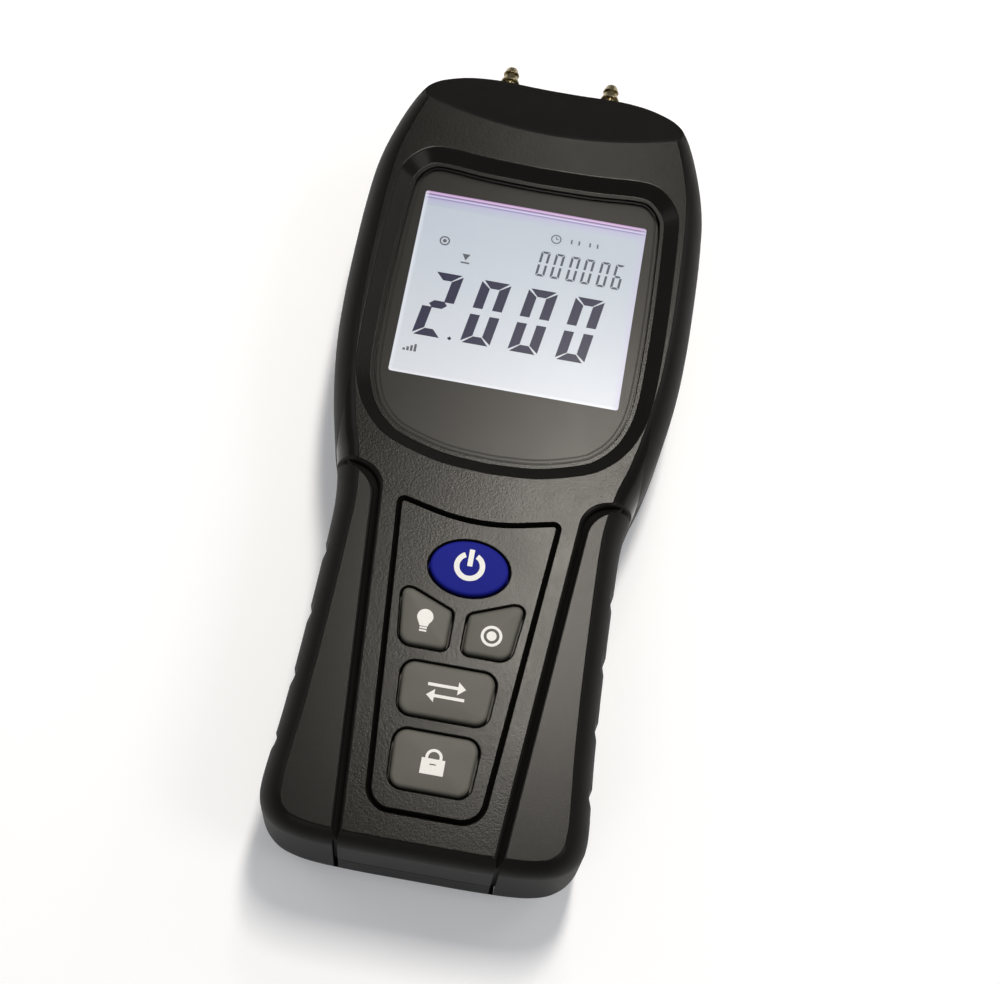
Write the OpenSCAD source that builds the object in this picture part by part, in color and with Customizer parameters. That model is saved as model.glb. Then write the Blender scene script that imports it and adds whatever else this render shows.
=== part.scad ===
// Handheld digital manometer: a two-part moulded housing with soft side grips, a display in a
// shallow dish, five keys on a silicone mat and two brass hose spigots in the top end.
// It lies on its back. +Z points out of the face, +Y points at the spigots, and the origin is
// under the middle of the whole outline. All sizes are in millimetres.

/* [Housing] */
// Length of the moulded housing, without the spigots
body_length = 176; // [172:1:186]
// Thickness from the back to the face
body_depth = 30; // [30:0.5:34]
// Width of the head at its widest line
head_width = 72; // [71:0.5:78]
// Width of the grip at the waist
waist_width = 57.2; // [56:0.2:61]
// Width at the foot
foot_width = 61.8; // [60:0.2:65]
// Distance of the widest head line from the top end
head_line = 52; // [48:1:56]
// Distance of the waist line from the foot
waist_line = 62; // [58:1:66]
// Distance of the widest foot line from the foot
foot_line = 10.6; // [9:0.2:13]
// Wall of both shells
wall = 2.2; // [1.8:0.1:2.2]
// Wall of the face over the keys
face_wall = 2.5; // [2:0.1:2.8]
// Height of the front shell, from the parting plane to the face
front_height = 14; // [13:0.1:14.5]
// Width of the soft edge between the face and the sides
face_round_width = 5.5; // [4:0.1:6]
// Height of the soft edge between the face and the sides
face_round_height = 8; // [6:0.2:9]
// Width of the soft edge between the face and the two ends
end_round_width = 3.6; // [3:0.1:4.5]
// Height of the soft edge between the face and the two ends
end_round_height = 4; // [3:0.1:5]
// Width of the rounding between the sides and the back
back_round_width = 7.4; // [5:0.1:7.6]
// Height of the rounding between the sides and the back
back_round_height = 10; // [8:0.5:10]

/* [Sloped top] */
// Distance of the slope's edge from the top end, on the middle line
slope_line = 19.8; // [18:0.2:21]
// Angle of the slope to the face, in degrees
slope_angle = 32; // [28:1:34]
// Radius of the hollow slope
slope_radius = 165; // [140:5:220]

/* [Grips] */
// Distance of the grips' upper edge from the foot
grip_line = 73.5; // [72:0.1:76]
// Distance of the grip seam from the middle line at the seam's top
seam_top = 20.4; // [19.8:0.1:21.5]
// Distance of the grip seam at the foot inside the battery door's edge
seam_foot_in = 1; // [0.4:0.1:1.8]
// Radius of the seam's upper bend
seam_bend = 6; // [4:0.5:7]
// Rise of the grips' upper edge from the seam to the side
grip_rise = 4; // [2:0.5:5]
// Thickness of the soft grips
grip_thickness = 1.5; // [1.2:0.1:1.6]
// Width of the groove between face and grip
seam_gap = 0.9; // [0.5:0.1:1.2]
// Height of the grips' lower edge over the back
grip_base = 4.5; // [3.5:0.1:6]
// Depth of the finger notches
notch_depth = 0.6; // [0.4:0.1:0.9]
// Radius of the finger notches
notch_radius = 1.4; // [1:0.1:2]
// Distance of the lowest notch from the foot
notch_start = 18.8; // [17:0.1:21]
// Distance from one notch to the next
notch_pitch = 13; // [11:0.1:14]
// Notches on each side
notch_count = 4; // [2:1:4]

/* [Display] */
// Distance of the dish's top edge from the top end
dish_line = 28.1; // [27:0.1:30]
// Distance of the dish from the sides of the head
dish_side = 5.5; // [5:0.1:6]
// Distance of the dish's bottom edge from the keypad outline
dish_gap = 7.2; // [5:0.1:8]
// Depth of the dish floor under the face
dish_depth = 1.8; // [1.4:0.1:2.2]
// Width of the dish's sloped border
dish_slope = 2.8; // [2.4:0.1:3]
// Width of the flat ledge round the lens
dish_ledge = 0.9; // [0.6:0.1:1.1]
// Gap round the lens
lens_gap = 0.25; // [0.15:0.05:0.35]
// Thickness of the lens
lens_thickness = 1.5; // [1.2:0.1:1.6]
// Thickness of the printed mask behind the lens
mask_thickness = 0.2; // [0.1:0.05:0.3]
// Distance of the visible display from the dish's sides
window_side_band = 6.95; // [6.8:0.05:8]
// Distance of the visible display from the dish's top edge
window_top_band = 8; // [7.4:0.1:9]
// Distance of the visible display from the dish's bottom edge
window_low_band = 20; // [18:0.5:22]
// Border of the glass around the visible display
glass_border = 1.1; // [0.8:0.1:1.1]
// Thickness of the display glass
glass_thickness = 2; // [1.6:0.1:2.2]
// Thickness of the backlight
backlight_thickness = 2.4; // [2.2:0.1:2.6]

/* [Keypad] */
// Distance of the keypad outline's top corners from the power key
keypad_top_gap = 7.6; // [6.6:0.1:8.4]
// Distance of the keypad outline's bottom edge from the foot
keypad_bottom = 7.1; // [6.4:0.1:8]
// Distance of the keypad outline's bottom edge from the hold key
keypad_low_gap = 5.1; // [4.4:0.1:5.6]
// Distance of the keypad outline's top corners from the small keys' outer edges
keypad_side_gap = 4.6; // [4:0.1:4.8]
// Distance of the keypad outline's bottom corners from the hold key's sides
keypad_foot_gap = 3; // [2.6:0.1:3.4]
// Sag of the keypad outline's top edge
keypad_sag = 1.9; // [1:0.1:2.5]
// Width of the keypad groove
groove_width = 0.9; // [0.6:0.1:1.1]
// Depth of the keypad groove
groove_depth = 0.7; // [0.4:0.1:1]
// Half width of the oval power key
power_half_width = 7.6; // [7:0.1:8]
// Half height of the oval power key
power_half_height = 5.5; // [5:0.1:5.7]
// Distance between the power key and the two small keys
power_gap = 0.5; // [0.4:0.1:1]
// Width of each small key
small_width = 10.2; // [9.4:0.1:10.4]
// Height of each small key at its outer edge
small_height = 11; // [10:0.1:11.2]
// Distance between the two small keys
small_gap = 3.2; // [3:0.1:3.6]
// Distance between the small keys and the units key
units_gap = 3.2; // [2.9:0.1:3.6]
// Width of the units key
units_width = 18; // [17:0.2:18.4]
// Height of the units key
units_height = 10.2; // [9.6:0.1:10.4]
// Distance between the units key and the hold key
hold_gap = 3; // [2.8:0.1:3.4]
// Width of the hold key
hold_width = 16; // [15:0.2:16.2]
// Height of the hold key
hold_height = 11; // [10:0.1:11.2]
// Corner radius of the grey keys
key_corner = 2.4; // [1.6:0.1:2.6]
// Height of the keys over the face
key_proud = 0.9; // [0.6:0.1:1.2]
// Travel of the keys
key_travel = 0.8; // [0.5:0.1:0.8]
// Gap round the keys
key_gap = 0.35; // [0.3:0.05:0.4]
// Width of the flange that keeps a key in its hole
key_flange = 0.9; // [0.6:0.1:0.9]

/* [Spigots] */
// Distance between the two spigots
spigot_pitch = 22.8; // [21:0.2:24]
// Distance of the spigots' axis under the parting plane
spigot_drop = 4.5; // [4:0.1:4.5]
// Length of the spigots outside the housing
spigot_reach = 8; // [7:0.5:12]
// Radius of the spigots, which the hose grips
spigot_radius = 2.1; // [1.8:0.1:2.4]
// Radius at the spigots' tips
spigot_tip_radius = 1.25; // [1.1:0.05:1.5]
// Length of the tapered tips
spigot_taper = 3.4; // [2:0.1:4]
// Radius of the bore
spigot_bore = 0.7; // [0.5:0.05:0.8]
// Radius of the threaded part that passes the wall
spigot_thread = 3; // [2.8:0.1:3.2]

/* [Inside] */
// Thickness of the circuit board
board_thickness = 1.6; // [1:0.1:1.6]
// Length of the battery
battery_length = 48.5; // [46.4:0.1:48.5]
// Width of the battery
battery_width = 26.5; // [25.5:0.1:26.5]
// Gap between the battery and the board
battery_gap = 0.2; // [0.2:0.1:2]
// Distance of the battery door's edges from the battery
door_side = 2.15; // [1.9:0.05:2.4]
// Travel of the battery door before it comes free
door_travel = 6; // [5:0.5:6.5]
// Radius of the housing screws
screw_radius = 1.2; // [1:0.1:1.3]
// Radius of the housing screws' heads
screw_head = 2.2; // [2:0.1:2.3]

/* [Hidden] */

// Half of the housing's outline in four stretches. Each row gives the share of the stretch's
// length and the share of its change of half width.
shoulder_shares = [[0, 1], [0.235, 0.994], [0.433, 0.972], [0.61, 0.912], [0.748, 0.838], [0.83, 0.755],
    [0.9, 0.662], [0.955, 0.55], [0.99, 0.41], [1, 0.26], [1, 0]];
flank_shares = [[0.169, 0.014], [0.334, 0.095], [0.5, 0.284], [0.652, 0.554], [0.752, 0.8],
    [0.868, 0.968]];
leg_shares = [[0, 1], [0.4, 0.78], [0.7, 0.48], [0.88, 0.18]];
foot_shares = [[0, 1], [0.34, 0.987], [0.6, 0.94], [0.8, 0.86], [0.91, 0.76], [0.97, 0.62], [0.995, 0.4],
    [1, 0.2], [1, 0]];
// Half of the dish's outline from its top to its bottom: shares of the half width and the length
dish_shares = [[0, 0], [0.36, -0.004], [0.66, -0.014], [0.79, -0.006], [0.88, 0.022], [0.945, 0.062],
    [0.975, 0.11], [0.99, 0.24], [1, 0.446], [0.993, 0.644], [0.972, 0.745], [0.93, 0.81], [0.87, 0.862],
    [0.78, 0.908], [0.64, 0.949], [0.328, 0.989], [0, 1]];

// Soft inner edges of the front and rear shells: shares of the outer rounding's height and width
roof_shares = [[0.24, 0.05], [-0.05, 0.35]];
floor_shares = [[-0.08, 0.5], [0.25, 0.25], [0.6, 0.08]];

// Fineness of the moulded curves
curve_steps = 2;
face_steps = 5;
back_steps = 4;
slope_sides = 180;
corner_steps = 5;
$fn = 48;
overrun = 1;
fit_gap = 0.1;
free_gap = 0.35;

// Heights, from the face inwards
lens_top = body_depth - dish_depth;
lens_base = lens_top - lens_thickness;
mask_base = lens_base - mask_thickness;
glass_top = mask_base - lens_gap;
glass_base = glass_top - glass_thickness;
board_top = glass_base - backlight_thickness;
board_base = board_top - board_thickness;
parting_height = body_depth - front_height;
frame_wall = 1.4;
frame_base = mask_base - frame_wall;
face_inner = body_depth - face_wall;

// Places along the body: the keys stand over each other, and the dish takes the length that is left
foot_end = -(body_length + spigot_reach) / 2;
top_end = foot_end + body_length;
grip_top = foot_end + grip_line;
shell_blend = 6;
hold_line = keypad_bottom + keypad_low_gap + hold_height / 2;
units_line = hold_line + (hold_height + units_height) / 2 + hold_gap;
small_line = units_line + (units_height + small_height) / 2 + units_gap;
power_line = small_line + small_height / 2 + power_half_height + power_gap;
keypad_top = power_line + power_half_height + keypad_top_gap;
keypad_half_top = small_gap / 2 + small_width + keypad_side_gap;
keypad_half_bottom = hold_width / 2 + keypad_foot_gap;
dish_top = top_end - dish_line;
dish_length = body_length - dish_line - keypad_top - dish_gap;
dish_width = head_width - 2 * dish_side;

// Display module
window_width = dish_width - 2 * window_side_band;
window_height = dish_length - window_top_band - window_low_band;
window_middle = dish_top - window_top_band - window_height / 2;
glass_width = window_width + 2 * glass_border;
glass_height = window_height + 2 * glass_border;
strip_width = 2;
holder_wall = 1.6;
module_gap = 0.25;
frame_width = glass_width + 2 * module_gap;
frame_height = glass_height + 2 * module_gap;
window_corner = 1;

// Keypad outline
keypad_low_corner = 5;
keypad_high_corner = 1.5;
keypad_top_bend = 38;

// Key parts
key_bevel = 0.45;
flange_thickness = 1.2;
flange_top = face_inner - free_gap;
flange_base = flange_top - flange_thickness;
key_stem = 1;
mat_thickness = 0.9;
dome_radius = 3.4;
dome_roof_radius = 2.4;
dome_wall = 0.45;
mat_margin = 1;
dome_top = flange_base - key_stem - key_travel - free_gap;
pill_radius = 1.5;
pill_thickness = 0.3;
power_middle = [0, foot_end + power_line];
small_middle = foot_end + small_line;
small_offset = (small_gap + small_width) / 2;
units_middle = [0, foot_end + units_line];
hold_middle = [0, foot_end + hold_line];
small_drop_share = 0.3;
small_flat_share = 0.2;
small_taper_share = 0.12;
key_taper_share = 0.04;
dome_places = [power_middle, [-small_offset, small_middle], [small_offset, small_middle], units_middle,
    hold_middle];

// Board outline and its screws
board_gap = 2.4;
board_head_half = head_width / 2 - wall - board_gap;
board_top_line = window_middle + frame_height / 2 + 2 * holder_wall;
board_leg_top = grip_top + key_corner;
board_foot_gap = 6.5;
board_foot = foot_end + board_foot_gap;
board_corner = 2;
board_screw_radius = 1;
board_screw_head = 1.9;
board_screw_head_height = 1.3;
board_boss = 2.3;
door_boss_gap = 1;
board_screw_bite = 3;
board_screw_length = board_thickness + board_screw_bite;
board_head_screw_x = frame_width / 2 + holder_wall + board_boss + free_gap;

// Housing screws and their bosses
boss_radius = 3.4;
well_radius = screw_head + free_gap;
well_depth = 6;
screw_tip_gap = 4.1;
screw_head_height = 1.6;
screw_length = face_inner - screw_tip_gap - well_depth + screw_head_height;
thread_play = 0.05;
pilot_spare = 0.6;
pilot_depth = screw_length + pilot_spare;
boss_from_side = 13.2;
boss_from_top = 16.5;
boss_from_foot = 12;
door_half = battery_width / 2 + door_side;
seam_foot = door_half - seam_foot_in;
upper_screw = [head_width / 2 - boss_from_side, top_end - boss_from_top];
lower_screw = [door_half + boss_radius + door_boss_gap, foot_end + boss_from_foot];
function mirrored(p) = [-p[0], p[1]];
screw_places = [upper_screw, mirrored(upper_screw), lower_screw, mirrored(lower_screw)];
board_leg_half = lower_screw[0] - boss_radius - free_gap;
board_leg_screw_x = board_leg_half - board_boss - free_gap;

// Battery bay and door
door_thickness = 2;
door_gap = 0.3;
door_recess = 0.2;
bay_wall = 1.3;
door_frame = 2.2;
bay_half = door_half + door_frame;
bay_gap = 0.6;
bay_foot_gap = 3.2;
bay_head_gap = 3.4;
bay_foot = foot_end + wall + grip_thickness + bay_foot_gap;
battery_foot = bay_foot + bay_gap;
battery_head = battery_foot + battery_length;
snap_thickness = 3;
bay_top = battery_head + snap_thickness + bay_head_gap;
bay_wall_drop = 3;
bay_slot_half = 6;
bay_slot_drop = 12.25;
bay_slot_height = board_base - bay_slot_drop;
door_lip = 4;
door_top = bay_top - door_lip;
door_end_height = 8;
battery_base = door_thickness + door_recess + free_gap;
battery_thickness = board_base - battery_gap - battery_base;
battery_corner = 2;
terminal_height = 2.1;
terminal_pitch = 12.7;
terminal_radii = [2.9, 3.9];
can_head = battery_head - terminal_height;
snap_corner = 1.5;
snap_trim = 0.8;
pad_thickness = bay_gap;
hook_length = 5;
hook_reach = 1.2;
hook_thickness = 1.2;
hook_wall = 1.4;
hook_first = 13;
hook_last_gap = 1.5;
hook_count = 3;
hook_pitch = (door_top - hook_last_gap - hook_length - hook_first - bay_foot) / (hook_count - 1);
hook_places = [for (k = [0 : hook_count - 1]) bay_foot + hook_first + k * hook_pitch];
rib_count = 5;
rib_pitch = 2;
rib_half = 7;
rib_radius = 0.6;
rib_start = 7;

// Route of each lead from the snap up to the board, chosen by hand: distance behind the snap and under
// the board
lead_radius = 0.65;
lead_offset = 3.4;
lead_sides = 8;
lead_points = [[0, 8.25], [2, 8.25], [4.5, 6.25], [6.5, 4.25], [7.5, 2.25]];

leg_screw_line = max(bay_top + bay_wall, power_middle[1] + dome_radius + mat_margin) + board_boss + overrun;
head_screw_lines = [window_middle - frame_height / 3, window_middle + frame_height / 3];
board_screw_places = concat(
    [for (x = [-board_head_screw_x, board_head_screw_x], y = head_screw_lines) [x, y]],
    [for (x = [-board_leg_screw_x, board_leg_screw_x]) [x, leg_screw_line]]);

// Pressure parts
sensor_width = 17;
sensor_length = 13;
sensor_height = 7.4;
sensor_edge = 2;
sensor_foot = board_top_line - sensor_length - sensor_edge;
port_offset = 4.6;
port_radius = 1.5;
port_length = 4.5;
port_rise = 2.4;
port_height = board_base - sensor_height + port_rise;
tube_bore = port_radius + fit_gap;
tube_wall = 0.9;
tube_radius = tube_bore + tube_wall;
spigot_height = parting_height - spigot_drop;
spigot_inner = top_end - wall;
nut_thickness = 2.4;
nut_radius = 4.6;
barb_length = 4;
collar_length = nut_thickness + 1;
spigot_foot = spigot_inner - collar_length - barb_length;
tube_sides = 8;
tube_steps = 4;

// Chips
chip_size = 10;
chip_height = 1.2;
chip_pins = 8;
pin_width = 0.5;
pin_length = 1;
pin_height = 0.3;
chip_offset = 14;
chip_drop = 12;
chip_place = [-chip_offset, window_middle - chip_drop];
buzzer_radius = 6;
buzzer_height = 4.6;
buzzer_hole = 1;
buzzer_offset = 15;
buzzer_place = [buzzer_offset, window_middle - chip_drop];

// Point lists. A span between two control points follows a smooth curve through all of them.
function between(p0, p1, p2, p3, t) =
    (2 * p1 + (p2 - p0) * t + (2 * p0 - 5 * p1 + 4 * p2 - p3) * t * t
    + (3 * p1 - p0 - 3 * p2 + p3) * t * t * t) / 2;
function smooth(p, steps) = concat([for (i = [0 : len(p) - 2], k = [0 : steps - 1])
    between(p[max(i - 1, 0)], p[i], p[i + 1], p[min(i + 2, len(p) - 1)], k / steps)], [p[len(p) - 1]]);
// A closed outline from its right half, which runs from the top to the bottom
function both_sides(half) = concat(half, [for (i = [len(half) - 2 : -1 : 1]) [-half[i][0], half[i][1]]]);
function unit(v) = v / norm(v);
// Outward direction at each point of an outline that runs clockwise
function outward(o) = [for (i = [0 : len(o) - 1])
    let (n = len(o), d = unit(o[(i + 1) % n] - o[(i + n - 1) % n])) [-d[1], d[0]]];
crest = 0.15;
function grown(o, by) = let (n = outward(o)) [for (i = [0 : len(o) - 1]) o[i] + n[i] * by];
// The same drawn in, without the points that pass each other in a tight corner
inset_share = 0.995;
function inset(o, by) = [for (p = grown(o, -by)) if (min([for (q = o) norm(p - q)]) > inset_share * by) p];
function raised(o, z) = [for (p = o) [p[0], p[1], z]];
// A clockwise outline with rounded corners, from rows of x, y and radius
function corner(a, b, c, r) = let (u = unit(a - b), v = unit(c - b), half = acos(u * v) / 2,
    run = r / tan(half), middle = b + unit(u + v) * r / sin(half),
    s = b + u * run - middle, e = b + v * run - middle,
    from = atan2(s[1], s[0]), turn = ((atan2(e[1], e[0]) - from + 540) % 360) - 180)
    [for (k = [0 : corner_steps]) let (a = from + turn * k / corner_steps) middle + r * [cos(a), sin(a)]];
function flat(p) = [p[0], p[1]];
function rounded(rows) = let (n = len(rows)) [for (i = [0 : n - 1])
    for (p = rows[i][2] > 0
        ? corner(flat(rows[(i + n - 1) % n]), flat(rows[i]), flat(rows[(i + 1) % n]), rows[i][2])
        : [flat(rows[i])]) p];
function box_rows(m, w, h, r) = [[m[0] - w / 2, m[1] + h / 2, r], [m[0] + w / 2, m[1] + h / 2, r],
    [m[0] + w / 2, m[1] - h / 2, r], [m[0] - w / 2, m[1] - h / 2, r]];
function middle_of(o) = let (n = len(o)) [for (a = [0 : 2]) [for (p = o) 1] * [for (p = o) p[a]] / n];

// Outline of the housing
head_middle = top_end - head_line;
waist_middle = foot_end + waist_line;
foot_middle = foot_end + foot_line;
half_outline = smooth(concat(
    [for (i = [len(shoulder_shares) - 1 : -1 : 0]) let (s = shoulder_shares[i])
        [s[1] * head_width / 2, head_middle + s[0] * head_line]],
    [for (s = flank_shares) [(head_width - s[1] * (head_width - waist_width)) / 2,
        head_middle + s[0] * (waist_middle - head_middle)]],
    [for (s = leg_shares) [(foot_width - s[1] * (foot_width - waist_width)) / 2,
        waist_middle + s[0] * (foot_middle - waist_middle)]],
    [for (s = foot_shares) [s[1] * foot_width / 2, foot_middle - s[0] * foot_line]]), curve_steps);
outline = both_sides(half_outline);
outline_out = outward(outline);
half_count = len(half_outline);

// How far the outline is drawn in at a height. Sides and ends have edges of their own, and the last
// ring passes the flat face by a crest, so that a plane cuts the face.
function side_part(i) = outline_out[i][0] * outline_out[i][0];
function blend_sides(i, side, end) = end + (side - end) * side_part(i);
function face_ring(turn, in) = [for (i = [0 : len(outline) - 1]) let (
    w = blend_sides(i, face_round_width, end_round_width),
    h = blend_sides(i, face_round_height, end_round_height),
    p = outline[i] - outline_out[i] * (w * (1 - cos(turn)) + in))
    [p[0], p[1], body_depth - h + (h + crest - in) * sin(turn)]];
function back_ring(turn, in) = [for (i = [0 : len(outline) - 1]) let (
    p = outline[i] - outline_out[i] * (back_round_width * (1 - cos(turn)) + in))
    [p[0], p[1], back_round_height - (back_round_height + crest - in) * sin(turn)]];
function flat_ring(z, in) = [for (i = [0 : len(outline) - 1]) let (
    p = outline[i] - outline_out[i] * in) [p[0], p[1], z]];
// The shells are thicker behind the grips
function shell_in(y) = wall + grip_thickness * max(0, min(1, (grip_top + shell_blend - y) / shell_blend));
function cavity_ring(z, more) = [for (i = [0 : len(outline) - 1]) let (
    p = outline[i] - outline_out[i] * (shell_in(outline[i][1]) + more)) [p[0], p[1], z]];

// A solid through rings of equal count, closed by a fan at each end
module loft(rings) {
    n = len(rings[0]);
    last = len(rings) - 1;
    points = concat([for (r = rings) each r], [middle_of(rings[0]), middle_of(rings[last])]);
    sides = [for (j = [0 : last - 1], i = [0 : n - 1]) let (a = j * n + i, b = j * n + (i + 1) % n)
        each [[a, b, b + n], [a, b + n, a + n]]];
    first_cap = [for (i = [0 : n - 1]) [(i + 1) % n, i, len(points) - 2]];
    last_cap = [for (i = [0 : n - 1]) [last * n + i, last * n + (i + 1) % n, len(points) - 1]];
    polyhedron(points, concat(sides, first_cap, last_cap));
}

module plate(o, z0, z1) {
    translate([0, 0, z0]) linear_extrude(z1 - z0) polygon(o);
}

module on_both_sides() {
    children();
    mirror([1, 0, 0]) children();
}

// Outlines of the display
dish_points = [for (s = dish_shares) [s[0] * dish_width / 2, dish_top - s[1] * dish_length]];
dish_outline = both_sides(smooth(dish_points, curve_steps));
dish_floor = grown(dish_outline, -dish_slope);
lens_pocket = inset(dish_outline, dish_slope + dish_ledge);
lens_outline = inset(dish_outline, dish_slope + dish_ledge + lens_gap);

function window_box(w, h) = rounded(box_rows([0, window_middle], w, h, window_corner));

// Outlines of the keypad
keypad_outline = rounded([[-keypad_half_bottom, foot_end + keypad_bottom, keypad_low_corner],
    [-keypad_half_top, foot_end + keypad_top, keypad_high_corner],
    [0, foot_end + keypad_top - 2 * keypad_sag, keypad_top_bend],
    [keypad_half_top, foot_end + keypad_top, keypad_high_corner],
    [keypad_half_bottom, foot_end + keypad_bottom, keypad_low_corner]]);
function oval(middle, a, b) = [for (k = [0 : $fn - 1]) let (turn = -k * 360 / $fn)
    middle + [a * cos(turn), b * sin(turn)]];
power_outline = oval(power_middle, power_half_width, power_half_height);
function small_outline(side) = let (inner = small_gap / 2, outer = inner + small_width,
    top = small_middle + small_height / 2, bottom = small_middle - small_height / 2,
    drop = top - small_drop_share * small_height,
    rows = [[outer, top, key_corner / 2], [outer - small_flat_share * small_width, top, key_corner],
        [inner, drop, key_corner / 2], [inner, bottom, key_corner / 2],
        [outer - small_taper_share * small_height, bottom, key_corner]],
    o = rounded([for (i = [4 : -1 : 0]) rows[i]]))
    side > 0 ? o : [for (i = [len(o) - 1 : -1 : 0]) [-o[i][0], o[i][1]]];
function tapered_key(middle, w, h) = rounded([[middle[0] - w / 2, middle[1] + h / 2, key_corner],
    [middle[0] + w / 2, middle[1] + h / 2, key_corner],
    [middle[0] + w / 2 - key_taper_share * w, middle[1] - h / 2, key_corner],
    [middle[0] - w / 2 + key_taper_share * w, middle[1] - h / 2, key_corner]]);
units_outline = tapered_key(units_middle, units_width, units_height);
hold_outline = tapered_key(hold_middle, hold_width, hold_height);
key_outlines = [power_outline, small_outline(-1), small_outline(1), units_outline, hold_outline];

// Region of one grip: right of the seam, under its upper bend, and out past the housing's side
grip_reach = (head_width + foot_width) / 2;
function grip_region(in) = rounded([[seam_foot + in, foot_end - overrun, 0],
    [seam_top + in, grip_top - in, seam_bend],
    [head_width / 2, grip_top + grip_rise - in, 0], [grip_reach, grip_top + grip_rise - in, 0],
    [grip_reach, foot_end - overrun, 0]]);

// Rings of the outer form, from the back to the face, and the part of them that one grip needs
function back_rings(in) = [for (k = [back_steps : -1 : 0]) back_ring(k * 90 / back_steps, in)];
function face_rings(in) = [for (k = [0 : face_steps]) face_ring(k * 90 / face_steps, in)];
function front_rings(in) = concat([flat_ring(parting_height - overrun, in)], face_rings(in));
function rear_rings(in) = concat(back_rings(in), [flat_ring(parting_height + overrun, in)]);
function form_rings(in) = concat(back_rings(in), face_rings(in));
// The first outline point of a grip, a little over its upper edge
grip_start = len([for (p = half_outline) if (p[1] > grip_top + grip_rise + seam_bend) p]) - 1;
function grip_sector(rings) = [for (r = rings) concat([for (i = [grip_start : half_count - 1]) r[i]],
    [[0, r[grip_start][1], r[grip_start][2]]])];
// The last outline point of the sloped top
slope_stop = len([for (p = half_outline) if (p[1] > top_end - 2 * slope_line) p]);
function top_sector(rings) = [for (r = rings) concat([for (i = [len(r) - slope_stop : len(r) - 1]) r[i]],
    [for (i = [0 : slope_stop]) r[i]])];
// The rounded foot of the battery door, with two plain corners at the door's top
foot_start = len([for (p = half_outline) if (p[0] > door_half + 2 * door_gap || p[1] > 0) p]) - 1;
function foot_sector(rings) = [for (r = rings) let (x = door_half + 2 * door_gap, y = door_top + overrun)
    concat([[x, y, r[0][2]]], [for (i = [foot_start : len(r) - foot_start]) r[i]], [[-x, y, r[0][2]]])];

module grip_blank() {
    intersection() {
        loft(grip_sector(form_rings(0)));
        plate(grip_region(seam_gap), grip_base + fit_gap, body_depth);
    }
}

// The pocket for a grip, cut from one shell with the rings that this shell needs
module grip_pocket(rings) {
    difference() {
        plate(grip_region(0), grip_base, body_depth + overrun);
        below(body_depth - grip_thickness - fit_gap) loft(grip_sector(rings));
    }
}

// Keeps what lies under a height, or over it
module below(z) {
    intersection() {
        children();
        block([-head_width, -body_length, -body_depth], [head_width, body_length, z]);
    }
}

module above(z) {
    intersection() {
        children();
        block([-head_width, -body_length, z], [head_width, body_length, 2 * body_depth]);
    }
}

function half_width_at(y) = lookup(y, [for (i = [half_count - 1 : -1 : 0])
    [half_outline[i][1], half_outline[i][0]]]);

module notches() {
    for (k = [0 : notch_count - 1]) {
        y = foot_end + notch_start + k * notch_pitch;
        translate([half_width_at(y) + notch_radius - notch_depth, y, 0])
            cylinder(h = body_depth, r = notch_radius);
    }
}

module grip() {
    color("#2b2b2a") difference() {
        grip_blank();
        below(body_depth - grip_thickness) loft(grip_sector(form_rings(grip_thickness)));
        notches();
    }
}

module left_grip() {
    mirror([1, 0, 0]) grip();
}

module right_grip() {
    grip();
}

// Front shell: the outer form over the parting plane, less a cavity with soft inner edges
module front_form() {
    above(parting_height) below(body_depth) loft(front_rings(0));
}

module front_cavity() {
    below(face_inner) loft(concat([cavity_ring(parting_height - overrun, 0)],
        [for (s = roof_shares) cavity_ring(face_inner - s[0] * face_round_height, s[1] * face_round_width)]));
}

// Wall behind the sloped top
module slope_wall() {
    above(parting_height) below(body_depth) intersection() {
        loft(top_sector(front_rings(0)));
        slope_roll(slope_radius + wall);
    }
}

module window_frame() {
    plate(grown(dish_outline, -dish_slope / 2), frame_base, face_inner + overrun);
}

module dish_cut() {
    loft([raised(dish_floor, lens_top), raised(dish_outline, body_depth),
        raised(grown(dish_outline, 0), body_depth + overrun)]);
    plate(lens_pocket, mask_base, lens_top + overrun);
    plate(window_box(frame_width, frame_height), frame_base - overrun, lens_top);
}

// The roll whose underside is the hollow slope
module slope_roll(r) {
    translate([0, top_end - slope_line, body_depth]) rotate([-slope_angle, 0, 0])
        translate([0, -slope_line / 4, slope_radius]) rotate([-90, 0, 0])
            cylinder(h = 2 * slope_line, r = r, $fn = slope_sides);
}

module keypad_groove() {
    translate([0, 0, body_depth - groove_depth]) linear_extrude(groove_depth + overrun) difference() {
        polygon(keypad_outline);
        polygon(grown(keypad_outline, -groove_width));
    }
}

module key_holes() {
    for (o = key_outlines) plate(grown(o, key_gap), face_inner - overrun, body_depth + overrun);
}

module front_bosses() {
    for (p = screw_places) translate([p[0], p[1], parting_height])
        cylinder(h = face_inner - parting_height + overrun, r = boss_radius);
    for (p = board_screw_places) translate([p[0], p[1], board_top])
        cylinder(h = face_inner - board_top + overrun, r = board_boss);
}

module front_pilots() {
    for (p = screw_places) translate([p[0], p[1], well_depth])
        cylinder(h = pilot_depth, r = screw_radius + thread_play);
    for (p = board_screw_places) translate([p[0], p[1], board_base])
        cylinder(h = board_screw_length + thread_play, r = board_screw_radius + thread_play);
}

module front_housing() {
    color("#3a3937") difference() {
        union() {
            difference() {
                front_form();
                front_cavity();
            }
            slope_wall();
            window_frame();
            front_bosses();
        }
        dish_cut();
        slope_roll(slope_radius);
        keypad_groove();
        key_holes();
        front_pilots();
        on_both_sides() grip_pocket(front_rings(grip_thickness + fit_gap));
    }
}

// Rear shell
module rear_form() {
    above(0) below(parting_height) loft(rear_rings(0));
}

module rear_cavity() {
    floor = [for (s = floor_shares) cavity_ring(wall + s[0] * back_round_height, s[1] * back_round_width)];
    above(wall) loft(concat(floor, [cavity_ring(parting_height + overrun, 0)]));
}

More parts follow.
